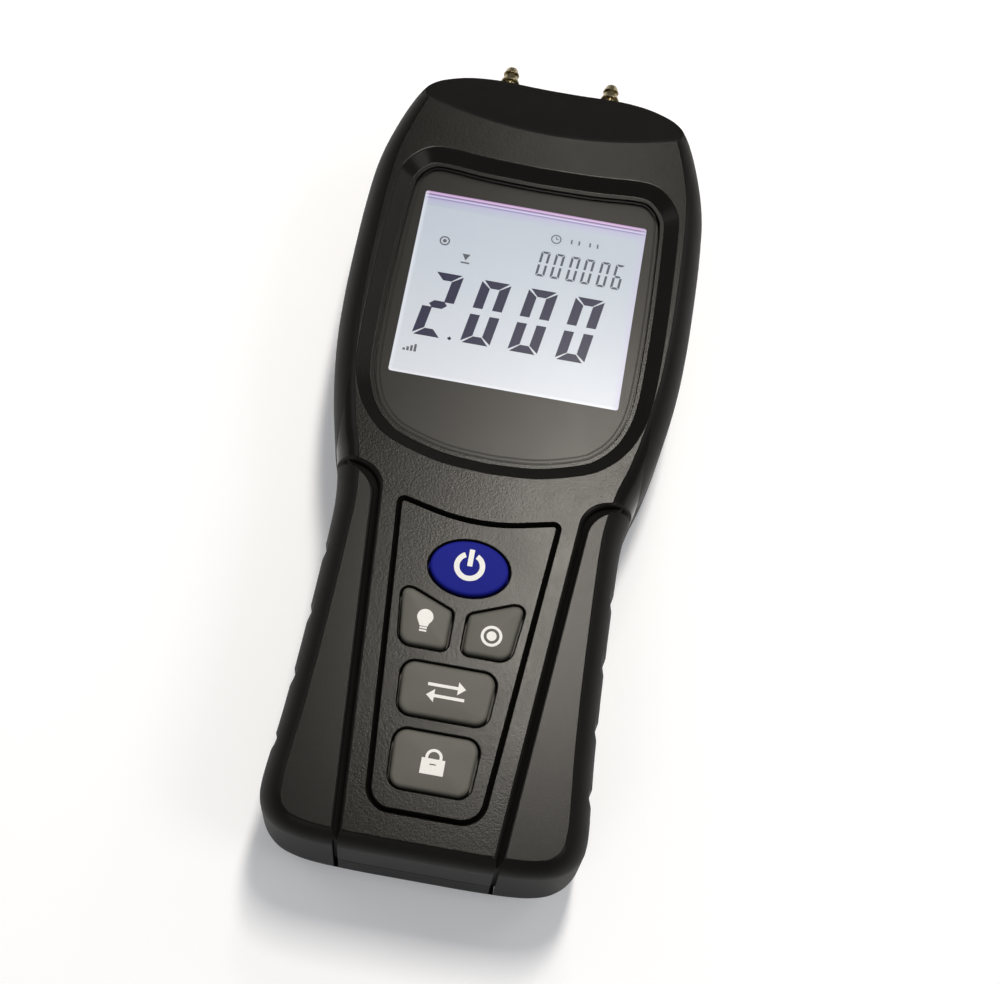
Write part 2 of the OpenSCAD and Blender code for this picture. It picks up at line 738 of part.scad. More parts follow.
module block(low, high) {
    translate(low) cube(high - low);
}

// Walls round the battery, with a slot for the leads
module bay_walls() {
    difference() {
        block([-bay_half - bay_wall, bay_foot - bay_wall, 0],
            [bay_half + bay_wall, bay_top + bay_wall, battery_base + battery_thickness - bay_wall_drop]);
        block([-bay_half, bay_foot, -overrun], [bay_half, bay_top, body_depth]);
        block([-bay_slot_half, bay_top - overrun, bay_slot_height],
            [bay_slot_half, bay_top + bay_wall + overrun, body_depth]);
    }
}

// Ribs that hold the battery on the middle line, clear of the door's hooks
module battery_ribs() {
    on_both_sides() for (y = [battery_foot, can_head - 2 * bay_wall])
        block([battery_width / 2 + bay_gap, y, wall + hook_thickness + 2 * free_gap],
            [bay_half + bay_wall / 2, y + bay_wall, battery_base + battery_thickness - bay_wall_drop]);
}

// Room for the battery where the shell's inner edges round up at the foot
module battery_room() {
    block([-battery_width / 2 - free_gap, battery_foot - free_gap, wall + free_gap / 2],
        [battery_width / 2 + free_gap, battery_head, body_depth]);
}

module rear_bosses() {
    for (p = screw_places) translate([p[0], p[1], 0]) cylinder(h = parting_height, r = boss_radius);
}

module rear_wells() {
    for (p = screw_places) translate([p[0], p[1], -overrun]) {
        cylinder(h = well_depth + overrun, r = well_radius);
        cylinder(h = parting_height + 2 * overrun, r = screw_radius + 2 * fit_gap);
    }
}

// Notches in the floor that let the door's hooks out once the door has slid its travel
module hook_notches() {
    on_both_sides() for (y = hook_places) block([door_half, y - door_travel - free_gap, -overrun],
        [door_half + hook_reach + free_gap, y - door_travel + hook_length + free_gap, wall + overrun]);
}

// Space of the battery door: a skin that runs along the back and turns up over the foot
module door_space(by, low) {
    difference() {
        block([-door_half - by, foot_end - overrun, low],
            [door_half + by, door_top + by, door_end_height + by]);
        above(door_thickness + by) loft(foot_sector(back_rings(door_thickness + by)));
    }
}

// Holes for the spigots, with a round seat for each nut
module spigot_holes() {
    on_both_sides() translate([spigot_pitch / 2, spigot_inner - collar_length, spigot_height])
        rotate([-90, 0, 0]) {
            cylinder(h = collar_length + wall + overrun, r = spigot_thread + fit_gap);
            cylinder(h = collar_length, r = nut_radius + free_gap);
        }
}

module rear_housing() {
    color("#32312f") difference() {
        union() {
            difference() {
                rear_form();
                rear_cavity();
            }
            intersection() {
                rear_form();
                union() {
                    bay_walls();
                    battery_ribs();
                    rear_bosses();
                }
            }
        }
        battery_room();
        door_space(door_gap, -overrun);
        hook_notches();
        rear_wells();
        spigot_holes();
        on_both_sides() grip_pocket(rear_rings(grip_thickness + fit_gap));
    }
}

// A door hook: it rises inside the opening and reaches over the housing's floor
module door_hook(y) {
    top = wall + free_gap + hook_thickness;
    block([door_half - hook_wall, y, door_thickness - fit_gap], [door_half, y + hook_length, top]);
    block([door_half - hook_wall, y, wall + free_gap], [door_half + hook_reach, y + hook_length, top]);
}

module battery_door() {
    color("#32312f") difference() {
        union() {
            intersection() {
                loft(foot_sector(back_rings(0)));
                door_space(0, door_recess);
            }
            on_both_sides() for (y = hook_places) door_hook(y);
        }
        for (k = [0 : rib_count - 1])
            translate([-rib_half, door_top - rib_start - k * rib_pitch, door_recess]) rotate([0, 90, 0])
                cylinder(h = 2 * rib_half, r = rib_radius);
    }
}

module housing_screws() {
    color("#9a9a96") for (p = screw_places) translate([p[0], p[1], well_depth - screw_head_height]) {
        cylinder(h = screw_head_height, r = screw_head);
        cylinder(h = screw_length, r = screw_radius);
    }
}

module display_lens() {
    color([0.8, 0.85, 0.9, 0.3]) plate(lens_outline, lens_base, lens_top);
}

module display_mask() {
    color("#3a3b38") difference() {
        plate(lens_outline, mask_base, lens_base);
        plate(window_box(window_width, window_height), mask_base - overrun, lens_base + overrun);
    }
}

module display_glass() {
    color("#cdd4e0") plate(window_box(glass_width, glass_height), glass_base, glass_top);
}

module display_holder() {
    color("#e8e8e2") difference() {
        plate(window_box(frame_width + 2 * holder_wall, frame_height + 2 * holder_wall), board_top,
            frame_base - fit_gap);
        plate(window_box(frame_width, frame_height), board_top - overrun, frame_base);
    }
}

module contact_strips() {
    color("#d98a9a") for (side = [-1, 1]) {
        y = window_middle + side * (glass_height - strip_width) / 2;
        block([-window_width / 2, y - strip_width / 2, board_top],
            [window_width / 2, y + strip_width / 2, glass_base]);
    }
}

module backlight_panel() {
    color("#f2f4ff") plate(window_box(window_width, glass_height - 2 * strip_width - 2 * module_gap),
        board_top, glass_base);
}

// A key: its cap with a bevelled edge, the flange that keeps it in its hole and a short stem
module key(o, stem_middle) {
    top = body_depth + key_proud;
    loft([raised(o, flange_top - flange_thickness / 2), raised(o, top - key_bevel),
        raised(grown(o, -key_bevel / 3), top - key_bevel / 3), raised(grown(o, -key_bevel), top)]);
    plate(grown(o, key_flange), flange_base, flange_top);
    translate([stem_middle[0], stem_middle[1], flange_base - key_stem])
        cylinder(h = key_stem + flange_thickness / 2, r = dome_roof_radius);
}

module power_key() {
    color("#22309a") key(power_outline, dome_places[0]);
}

module lamp_key() {
    color("#6a6a64") key(small_outline(-1), dome_places[1]);
}

module record_key() {
    color("#6a6a64") key(small_outline(1), dome_places[2]);
}

module units_key() {
    color("#6a6a64") key(units_outline, dome_places[3]);
}

module hold_key() {
    color("#6a6a64") key(hold_outline, dome_places[4]);
}

mat_rows = box_rows([0, (hold_middle[1] + power_middle[1]) / 2], 2 * board_leg_half - 2 * board_gap,
    power_middle[1] - hold_middle[1] + 2 * dome_radius + 2 * mat_margin, board_corner);

module key_mat() {
    color("#b9b9b4") difference() {
        union() {
            plate(rounded(mat_rows), board_top, board_top + mat_thickness);
            for (p = dome_places) translate([p[0], p[1], board_top + mat_thickness / 2])
                cylinder(h = dome_top - board_top - mat_thickness / 2, r1 = dome_radius,
                    r2 = dome_roof_radius);
        }
        for (p = dome_places) translate([p[0], p[1], board_top - overrun])
            cylinder(h = dome_top - dome_wall - board_top + overrun, r = dome_roof_radius - dome_wall);
    }
}

module key_pills() {
    color("#1c1c1c") for (p = dome_places) translate([p[0], p[1], dome_top - dome_wall - pill_thickness])
        cylinder(h = pill_thickness, r = pill_radius);
}

board_neck = window_middle - frame_height / 2;
board_half = [[board_head_half, board_top_line, board_corner],
    [half_width_at(board_neck) - wall - board_gap, board_neck, board_corner],
    [board_leg_half, board_leg_top, board_corner], [board_leg_half, board_foot, board_corner]];
board_outline = rounded(concat(board_half, [for (i = [3 : -1 : 0])
    [-board_half[i][0], board_half[i][1], board_corner]]));

module circuit_board() {
    color("#1f6b3c") difference() {
        plate(board_outline, board_base, board_top);
        for (p = board_screw_places) translate([p[0], p[1], board_base - overrun])
            cylinder(h = board_thickness + 2 * overrun, r = board_screw_radius + fit_gap);
    }
}

module board_screws() {
    color("#a8a8a2") for (p = board_screw_places)
        translate([p[0], p[1], board_base - board_screw_head_height]) {
            cylinder(h = board_screw_head_height, r = board_screw_head);
            cylinder(h = board_screw_head_height + board_screw_length, r = board_screw_radius);
        }
}

// Square chip under the board with a row of pins along each side
module processor_chip() {
    color("#1c1c1e") translate([chip_place[0], chip_place[1], board_base - chip_height]) {
        translate([-chip_size / 2, -chip_size / 2, 0]) cube([chip_size, chip_size, chip_height]);
        for (turn = [0 : 90 : 270], k = [0 : chip_pins - 1]) rotate([0, 0, turn]) {
            y = (k + 0.5) * chip_size / chip_pins - chip_size / 2;
            block([chip_size / 2 - pin_height, y - pin_width / 2, chip_height - pin_height],
                [chip_size / 2 + pin_length, y + pin_width / 2, chip_height]);
        }
    }
}

module buzzer() {
    color("#202020") translate([buzzer_place[0], buzzer_place[1], board_base - buzzer_height]) difference() {
        cylinder(h = buzzer_height, r = buzzer_radius);
        translate([0, 0, -overrun]) cylinder(h = buzzer_height / 2 + overrun, r = buzzer_hole);
    }
}

// Sensor block under the board with two nozzles towards the spigots
module pressure_sensor() {
    color("#e6e2d6") {
        block([-sensor_width / 2, sensor_foot, board_base - sensor_height],
            [sensor_width / 2, sensor_foot + sensor_length, board_base]);
        on_both_sides() translate([port_offset, sensor_foot + sensor_length - overrun, port_height])
            rotate([-90, 0, 0]) cylinder(h = port_length + overrun, r = port_radius);
    }
}

// A round tube swept through points; side is a direction that the route never follows
function across(d, side) = unit(cross(d, side));
function tube_rings(p, r, side, sides) = [for (i = [0 : len(p) - 1]) let (
    d = unit(p[min(i + 1, len(p) - 1)] - p[max(i - 1, 0)]), u = across(d, side), v = cross(d, u))
    [for (k = [0 : sides - 1]) p[i] + r * (cos(k * 360 / sides) * u - sin(k * 360 / sides) * v)]];

tube_start = sensor_foot + sensor_length + fit_gap;
tube_end = spigot_inner - collar_length - fit_gap;
tube_lead = port_length;
tube_route = concat([[port_offset, tube_start, port_height]],
    smooth([[port_offset, tube_start + tube_lead, port_height],
        [port_offset + spigot_pitch / 2, tube_start + tube_end, port_height + spigot_height] / 2,
        [spigot_pitch / 2, tube_end - barb_length, spigot_height]], tube_steps),
    [[spigot_pitch / 2, tube_end, spigot_height]]);

bore_route = concat([tube_route[0] - [0, overrun, 0]], tube_route,
    [tube_route[len(tube_route) - 1] + [0, overrun, 0]]);

module tube() {
    difference() {
        loft(tube_rings(tube_route, tube_radius, [0, 0, 1], tube_sides));
        loft(tube_rings(bore_route, tube_bore / cos(180 / tube_sides), [0, 0, 1], tube_sides));
    }
}

module left_tube() {
    color("#dfe3e0") mirror([1, 0, 0]) tube();
}

module right_tube() {
    color("#dfe3e0") tube();
}

module spigot() {
    translate([spigot_pitch / 2, 0, spigot_height]) rotate([-90, 0, 0]) rotate_extrude() polygon([
        [spigot_bore, spigot_foot], [port_radius, spigot_foot],
        [port_radius, spigot_inner - collar_length], [spigot_thread, spigot_inner - collar_length],
        [spigot_thread, top_end], [spigot_radius, top_end],
        [spigot_radius, top_end + spigot_reach - spigot_taper], [spigot_tip_radius, top_end + spigot_reach],
        [spigot_bore, top_end + spigot_reach]]);
}

module left_spigot() {
    color("#b59a4a") mirror([1, 0, 0]) spigot();
}

module right_spigot() {
    color("#b59a4a") spigot();
}

module spigot_nuts() {
    color("#b59a4a") on_both_sides()
        translate([spigot_pitch / 2, spigot_inner - nut_thickness, spigot_height]) rotate([-90, 0, 0])
            difference() {
                cylinder(h = nut_thickness, r = nut_radius, $fn = 6);
                translate([0, 0, -overrun])
                    cylinder(h = nut_thickness + 2 * overrun, r = spigot_thread + thread_play);
            }
}

// Draws along +Y what is given along +Z, with the profile's y upwards
module along_y(y) {
    translate([0, y, 0]) rotate([90, 0, 180]) mirror([1, 0, 0]) children();
}

battery_centre = [0, battery_base + battery_thickness / 2];

module terminals(grow, length) {
    for (k = [0, 1]) along_y(can_head) translate([(k - 0.5) * terminal_pitch, battery_centre[1], 0])
        cylinder(h = length, r = terminal_radii[k] + grow);
}

module battery() {
    color("#4a4d52") {
        along_y(battery_foot) linear_extrude(can_head - battery_foot)
            polygon(rounded(box_rows(battery_centre, battery_width, battery_thickness, battery_corner)));
        terminals(0, terminal_height);
    }
}

module battery_pad() {
    x = battery_width / 2 - battery_corner;
    top = battery_base + battery_thickness - bay_wall_drop - battery_corner;
    color("#333333") block([-x, bay_foot, battery_base + battery_corner],
        [x, bay_foot + pad_thickness - fit_gap, top]);
}

module battery_snap() {
    color("#151515") difference() {
        along_y(can_head + fit_gap) linear_extrude(terminal_height + snap_thickness)
            polygon(rounded(box_rows(battery_centre, battery_width - 2 * snap_trim,
                battery_thickness - 2 * snap_trim, snap_corner)));
        terminals(fit_gap, terminal_height + 2 * fit_gap);
    }
}

// A lead from the snap through the slot in the bay wall and up to the board
snap_back = can_head + fit_gap + terminal_height + snap_thickness;
lead_route = concat([for (p = lead_points) [lead_offset, snap_back + p[0], board_base - p[1]]],
    [[lead_offset, snap_back + lead_points[len(lead_points) - 1][0], board_base]]);

module lead() {
    loft(tube_rings(lead_route, lead_radius, [1, 0, 0], lead_sides));
}

module red_lead() {
    color("#b02020") lead();
}

module black_lead() {
    color("#141414") mirror([1, 0, 0]) lead();
}

front_housing();
rear_housing();
left_grip();
right_grip();
battery_door();
housing_screws();
display_lens();
display_mask();
display_glass();
display_holder();
contact_strips();
backlight_panel();
power_key();
lamp_key();
record_key();
units_key();
hold_key();
key_mat();
key_pills();
circuit_board();
board_screws();
processor_chip();
buzzer();
pressure_sensor();
left_tube();
right_tube();
left_spigot();
right_spigot();
spigot_nuts();
battery();
battery_pad();
battery_snap();
red_lead();
black_lead();
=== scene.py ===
"""Looks of the handheld digital manometer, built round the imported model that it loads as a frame.

Lengths are in millimetres while shapes are worked out, and become metres when a mesh is made.
"""
from math import cos, pi, radians, sin, tan

import bpy
import numpy as np
from mathutils import Matrix, Vector
from mathutils.bvhtree import BVHTree


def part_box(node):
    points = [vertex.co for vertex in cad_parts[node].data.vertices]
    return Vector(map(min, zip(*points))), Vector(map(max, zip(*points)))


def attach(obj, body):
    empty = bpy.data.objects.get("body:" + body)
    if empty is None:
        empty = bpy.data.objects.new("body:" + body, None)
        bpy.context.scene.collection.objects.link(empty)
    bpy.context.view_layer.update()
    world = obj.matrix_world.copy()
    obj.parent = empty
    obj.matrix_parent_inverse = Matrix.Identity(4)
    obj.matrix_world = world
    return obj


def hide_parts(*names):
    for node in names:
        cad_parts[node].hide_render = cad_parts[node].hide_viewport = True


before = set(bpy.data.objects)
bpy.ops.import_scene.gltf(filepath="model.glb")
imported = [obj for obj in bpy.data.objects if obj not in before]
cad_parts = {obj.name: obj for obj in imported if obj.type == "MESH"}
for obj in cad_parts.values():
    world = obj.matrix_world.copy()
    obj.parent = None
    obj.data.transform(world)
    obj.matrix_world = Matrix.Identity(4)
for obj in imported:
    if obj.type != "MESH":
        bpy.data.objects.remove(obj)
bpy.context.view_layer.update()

mm = 0.001
UP = np.array([0.0, 0.0, 1.0])


def node_box(name):
    low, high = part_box(name)
    return np.array(low) / mm, np.array(high) / mm


# Sizes read from the frame
front_high = node_box("front_housing")[1]
rear_low, rear_high = node_box("rear_housing")
lens_low, lens_high = node_box("display_lens")
mask_low, mask_high = node_box("display_mask")
glass_low, glass_high = node_box("display_glass")
battery_low, battery_high = node_box("battery")
grip_low = node_box("right_grip")[0]
door_top = node_box("battery_door")[1][1]
body_depth = front_high[2]
head_width = 2 * front_high[0]
foot_end, top_end = rear_low[1], rear_high[1]
body_length = top_end - foot_end
parting_height = rear_high[2]
overrun = 1.0

# Housing: the same driving sizes and shares as the solids
waist_width, foot_width = 57.2, 61.8
head_line, waist_line, foot_line = 52.0, 62.0, 10.6
shoulder_shares = [(0, 1), (0.235, 0.994), (0.433, 0.972), (0.61, 0.912), (0.748, 0.838), (0.83, 0.755),
                   (0.9, 0.662), (0.955, 0.55), (0.99, 0.41), (1, 0.26), (1, 0)]
flank_shares = [(0.169, 0.014), (0.334, 0.095), (0.5, 0.284), (0.652, 0.554), (0.752, 0.8), (0.868, 0.968)]
leg_shares = [(0, 1), (0.4, 0.78), (0.7, 0.48), (0.88, 0.18)]
foot_shares = [(0, 1), (0.34, 0.987), (0.6, 0.94), (0.8, 0.86), (0.91, 0.76), (0.97, 0.62), (0.995, 0.4),
               (1, 0.2), (1, 0)]
dish_shares = [(0, 0), (0.36, -0.004), (0.66, -0.014), (0.79, -0.006), (0.88, 0.022), (0.945, 0.062),
               (0.975, 0.11), (0.99, 0.24), (1, 0.446), (0.993, 0.644), (0.972, 0.745), (0.93, 0.81),
               (0.87, 0.862), (0.78, 0.908), (0.64, 0.949), (0.328, 0.989), (0, 1)]
wall, face_wall = 2.2, 2.5
face_round_width, face_round_height = 5.5, 8.0
end_round_width, end_round_height = 3.6, 4.0
back_round_width, back_round_height = 7.4, 10.0
# Soft inner edges of the shells: shares of the outer rounding's height and width
front_edge_shares = [(0.24, 0.05), (0.1, 0.14), (-0.05, 0.35)]
rear_edge_shares = [(-0.08, 0.5), (0.1, 0.36), (0.25, 0.25), (0.6, 0.08)]
crest = 0.15
slope_line, slope_angle, slope_radius = 19.8, radians(32), 165.0
parting_depth, parting_half, parting_flare = 0.45, 0.07, 0.3

# Grips
grip_line, grip_rise, grip_thickness, seat_gap = 73.5, 4.0, 1.5, 0.1
seam_top, seam_foot, seam_bend, seam_gap = 20.4, 14.4, 6.0, 0.9
seam_lip, grip_lip, seam_flare_share, grip_flare_share = 0.9, 0.7, 1.3, 1.2
notch_depth, notch_radius, notch_start, notch_pitch, notch_count = 0.85, 2.8, 18.2, 13.0, 4
toe_step, toe_rest = 0.05, 0.03
shell_blend = 6.0
grip_base = grip_low[2] - seat_gap
grip_top = foot_end + grip_line

# Display
dish_line, dish_width, dish_length, dish_slope, dish_ledge = 28.1, 61.0, 71.0, 2.8, 0.9
dish_lip, dish_foot_round, lens_lip, lens_gap = 1.1, 0.35, 0.12, 0.25
window_width, window_height, window_line, window_corner = 47.1, 43.0, 57.6, 0.6
window_wall, opening_corner, opening_depth = 1.4, 1.0, 5.0
opening_width = glass_high[0] - glass_low[0] + 2 * lens_gap
opening_height = glass_high[1] - glass_low[1] + 2 * lens_gap
dish_top = top_end - dish_line
window_middle = top_end - window_line
# Rows of the lens's edge and of the line round it: offset from its outline and height over its top
lens_edge_rows = [(0, -0.2), (-0.06, -0.06), (-0.2, 0)]
lens_line_rows = [(-0.55, 0.2), (-0.55, -0.3), (-0.75, -0.5), (-0.95, -0.3), (-0.95, 0.2)]

# Keypad
keypad_top, keypad_bottom, keypad_half_top, keypad_half_bottom, keypad_sag = 69.7, 7.1, 16.4, 11.0, 1.9
keypad_foot_corner, keypad_head_corner, keypad_bow = 5.0, 1.5, 38.0
groove_width, groove_depth, groove_lip, hole_lip = 1.05, 1.5, 0.16, 0.35
power_half_width, power_half_height = 7.6, 5.5
small_width, small_height, small_gap = 10.2, 11.0, 3.2
units_width, units_height, hold_width, hold_height = 18.0, 10.2, 16.0, 11.0
small_slant_share, small_cut_share, small_taper_share, key_taper_share = 0.2, 0.3, 0.12, 0.04
power_line, small_line, units_line, hold_line = 56.6, 45.1, 31.3, 17.7
key_corner, key_gap, key_flange, flange_thickness = 2.4, 0.35, 0.9, 1.2
key_stem, key_stem_radius, key_stem_depth = 1.0, 2.4, 1.5
key_crown, key_edge, key_edge_steps = 0.22, 0.6, 6
crown_shares = (0.96, 0.9, 0.82, 0.72, 0.6, 0.47, 0.33, 0.2, 0.08)
print_room, ink_rise, ink_sink, segment_rise = 0.04, 0.03, 0.25, 0.02
power_middle, units_middle, hold_middle = (
    np.array([0, foot_end + line]) for line in (power_line, units_line, hold_line))
small_middle = foot_end + small_line


# Points and outlines

def between(p0, p1, p2, p3, t):
    return (2 * p1 + (p2 - p0) * t + (2 * p0 - 5 * p1 + 4 * p2 - p3) * t ** 2
            + (3 * p1 - p0 - 3 * p2 + p3) * t ** 3) / 2


def smooth(points, steps):
    """A smooth curve through the points, with so many steps for each span."""
    p = np.array(points, float)
    last = len(p) - 1
    curve = [between(p[max(i - 1, 0)], p[i], p[i + 1], p[min(i + 2, last)], k / steps)
             for i in range(last) for k in range(steps)]
    return np.array(curve + [p[last]])


def both_sides(half):
    """A closed clockwise outline from its right half, which runs from the top to the bottom."""
    return np.vstack([half, (half[1:-1] * [-1, 1])[::-1]])


def outward(outline):
    """Outward step at each point of a clockwise outline that moves its sides by one."""
    ahead = np.roll(outline, -1, 0) - outline
    ahead = ahead / np.linalg.norm(ahead, axis=1)[:, None]
    normal = np.stack([-ahead[:, 1], ahead[:, 0]], 1)
    mean = normal + np.roll(normal, 1, 0)
    return 2 * mean / np.maximum((mean ** 2).sum(1), 1.0)[:, None]


def grown(outline, by):
    return outline + outward(outline) * by


def raised(outline, height):
    return np.column_stack([outline, np.full(len(outline), height)])


def corner(a, b, c, r, steps):
    """An arc of radius r that rounds the corner b between a and c."""
    u, v = (a - b) / np.linalg.norm(a - b), (c - b) / np.linalg.norm(c - b)
    half = np.arccos(np.clip(u @ v, -1, 1)) / 2
    middle = b + (u + v) / np.linalg.norm(u + v) * r / sin(half)
    start, end = b + u * r / tan(half) - middle, b + v * r / tan(half) - middle
    first = np.arctan2(start[1], start[0])
    turn = (np.arctan2(end[1], end[0]) - first + 3 * pi) % (2 * pi) - pi
    angles = first + turn * np.arange(steps + 1) / steps
    return [middle + r * np.array([cos(t), sin(t)]) for t in angles]


def rounded(rows, steps=8):
    """An outline from rows of x, y and corner radius."""
    places = [np.array(row[:2], float) for row in rows]
    points = []
    for i, row in enumerate(rows):
        if row[2] > 0:
            points += corner(places[i - 1], places[i], places[(i + 1) % len(rows)], row[2], steps)
        else:
            points.append(places[i])
    return np.array(points)


def round_box(middle, w, h, r, taper=0):
    """A box with round corners, whose foot is narrower by a taper at each side."""
    x, y = middle
    return rounded([(x - w / 2, y + h / 2, r), (x + w / 2, y + h / 2, r),
                    (x + w / 2 - taper, y - h / 2, r), (x - w / 2 + taper, y - h / 2, r)])


def oval(middle, a, b, count=96):
    turn = -2 * pi * np.arange(count) / count
    return np.column_stack([middle[0] + a * np.cos(turn), middle[1] + b * np.sin(turn)])


def on_side(side, outline):
    """An outline of the right side, or its mirror image on the left."""
    return outline if side > 0 else (outline * [-1, 1])[::-1]


# Outline of the housing
outline_steps = 7
head_middle = top_end - head_line
waist_middle = foot_end + waist_line
foot_middle = foot_end + foot_line
half_outline = smooth(
    [(w * head_width / 2, head_middle + s * head_line) for s, w in shoulder_shares[::-1]]
    + [((head_width - w * (head_width - waist_width)) / 2, head_middle + s * (waist_middle - head_middle))
       for s, w in flank_shares]
    + [((foot_width - w * (foot_width - waist_width)) / 2, waist_middle + s * (foot_middle - waist_middle))
       for s, w in leg_shares]
    + [(w * foot_width / 2, foot_middle - s * foot_line) for s, w in foot_shares], outline_steps)
half_outline[:, 0] = half_outline[:, 0].clip(0, head_width / 2)
half_outline[:, 1] = half_outline[:, 1].clip(foot_end, top_end)
outline = both_sides(half_outline)
outline_out = outward(outline)
side_part = outline_out[:, 0] ** 2 / (outline_out ** 2).sum(1)


# Rings of the outer form, as in the solids but finer
face_steps, back_steps = 14, 10


def blend_sides(side, end):
    return end + (side - end) * side_part


def face_ring(turn, inset):
    w = blend_sides(face_round_width, end_round_width)
    h = blend_sides(face_round_height, end_round_height)
    p = outline - outline_out * (w * (1 - cos(turn)) + inset)[:, None]
    return np.column_stack([p, body_depth - h + (h + crest - inset) * sin(turn)])


def back_ring(turn, inset):
    p = outline - outline_out * (back_round_width * (1 - cos(turn)) + inset)
    height = back_round_height - (back_round_height + crest - inset) * sin(turn)
    return raised(p, height)


def flat_ring(height, inset):
    return raised(outline - outline_out * inset, height)


def shell_in(y):
    """How far the hollow stands in from the outline: more where the grips' pockets need it."""
    return wall + grip_thickness * np.clip((grip_top + shell_blend - y) / shell_blend, 0, 1)


def cavity_ring(height, more):
    inset = shell_in(outline[:, 1]) + more
    return raised(outline - outline_out * inset[:, None], height)


def front_rings(inset):
    return [flat_ring(parting_height - overrun, inset)] + [
        face_ring(k * pi / 2 / face_steps, inset) for k in range(face_steps + 1)]


def rear_rings(inset):
    return [back_ring(k * pi / 2 / back_steps, inset) for k in range(back_steps, -1, -1)] + [
        flat_ring(parting_height + overrun, inset)]


def form_rings(inset):
    """Rings of both shells in one."""
    return rear_rings(inset)[:-1] + front_rings(inset)[1:]


# Meshes

def new_piece(name, points, faces):
    mesh = bpy.data.meshes.new(name)
    mesh.from_pydata((np.array(points) * mm).tolist(), [], faces)
    mesh.validate()
    piece = bpy.data.objects.new(name, mesh)
    bpy.context.scene.collection.objects.link(piece)
    return piece


def loft(name, rings, closed=False):
    """A solid through rings of equal count. A closed loft joins its last ring to the first."""
    n = len(rings[0])
    count = len(rings)
    faces = []
    for j in range(count if closed else count - 1):
        low, high = j * n, (j + 1) % count * n
        faces += [(low + i, low + (i + 1) % n, high + (i + 1) % n, high + i) for i in range(n)]
    if not closed:
        faces.append(tuple(range(n))[::-1])
        faces.append(tuple((count - 1) * n + i for i in range(n)))
    piece = new_piece(name, np.vstack(rings), faces)
    face_outward(piece.data)
    return piece


def face_outward(mesh):
    """Turns a closed mesh inside out if its volume is negative."""
    mesh.calc_loop_triangles()
    total = sum(mesh.vertices[t.vertices[0]].co.dot(
        mesh.vertices[t.vertices[1]].co.cross(mesh.vertices[t.vertices[2]].co)) for t in mesh.loop_triangles)
    if total < 0:
        mesh.flip_normals()


def prism(name, outline, low, high):
    return loft(name, [raised(outline, low), raised(outline, high)])


def block(name, low, high):
    (x0, y0, z0), (x1, y1, z1) = low, high
    return prism(name, np.array([(x0, y0), (x0, y1), (x1, y1), (x1, y0)]), z0, z1)


def axes_across(direction):
    d = np.array(direction, float)
    d /= np.linalg.norm(d)
    u = np.cross(d, (0, 0, 1) if abs(d[2]) < 0.9 else (1, 0, 0))
    u /= np.linalg.norm(u)
    return d, u, np.cross(d, u)


def turned(name, origin, direction, rows, sides=64, closed=False):
    """A round piece from rows of distance along its axis and radius."""
    d, u, v = axes_across(direction)
    turn = 2 * pi * np.arange(sides) / sides
    circle = np.outer(np.cos(turn), u) + np.outer(np.sin(turn), v)
    rings = [np.array(origin) + d * along + circle * r for along, r in rows]
    return loft(name, rings, closed)


def rod(name, origin, direction, length, radius, sides=48):
    return turned(name, origin, direction, [(0, radius), (length, radius)], sides)


def cut_with(piece, tools, operation="DIFFERENCE"):
    """Cuts, joins or intersects a piece with tool pieces, which are used up."""
    for tool in tools:
        step = piece.modifiers.new("step", "BOOLEAN")
        step.operation = operation
        step.solver = "MANIFOLD"
        step.object = tool
    bake(piece)
    for tool in tools:
        mesh = tool.data
        bpy.data.objects.remove(tool)
        bpy.data.meshes.remove(mesh)
    return piece


def bake(piece):
    """Turns a piece's modifiers into its mesh."""
    bpy.context.view_layer.update()
    result = bpy.data.meshes.new_from_object(piece.evaluated_get(bpy.context.evaluated_depsgraph_get()))
    old = piece.data
    piece.modifiers.clear()
    piece.data = result
    bpy.data.meshes.remove(old)


def join_with(piece, tools):
    return cut_with(piece, tools, "UNION")


def kept_in(piece, tools):
    return cut_with(piece, tools, "INTERSECT")


def form(name, rings, low, high):
    """A loft through rings, kept between two heights."""
    slab = block("slab", (-head_width, -body_length, low), (head_width, body_length, high))
    return kept_in(loft(name, rings), [slab])


# Profiles for moulded cuts: points of offset from an outline and height

def lip(offset, height, radius, slope=pi / 2, rest=radians(7), steps=6):
    """A rounded lip where a wall, rising at a slope, meets a flat face at a height."""
    reach = radius * (cos(slope) - cos(rest)) / sin(slope)
    middle = np.array([offset + reach * cos(slope) + radius * sin(slope),
                       height + reach * sin(slope) - radius * cos(slope)])
    turns = slope + (rest - slope) * np.arange(steps + 1) / steps
    points = [middle + radius * np.array([-sin(t), cos(t)]) for t in turns]
    return points + [points[-1] + np.array([0, overrun])]


def fillet(points, radius, steps=5):
    """The middle one of three profile points, rounded."""
    a, b, c = (np.array(p, float) for p in points)
    return corner(a, b, c, radius, steps)


def moulded_cut(name, outline, profile, closed=False):
    """A cut along an outline. A closed one is a groove, down one side and up the other."""
    return loft(name, [raised(grown(outline, by), height) for by, height in profile], closed)


def fitted(piece, body, node, angle=32):
    """A piece that rides on a body and stands for a node, smooth but for its sharp edges and flat faces."""
    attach(piece, body)
    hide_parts(node)
    piece.data.shade_smooth()
    piece.data.set_sharp_from_angle(angle=radians(angle))
    weights = piece.modifiers.new("flat faces stay flat", "WEIGHTED_NORMAL")
    weights.keep_sharp = True
    return piece


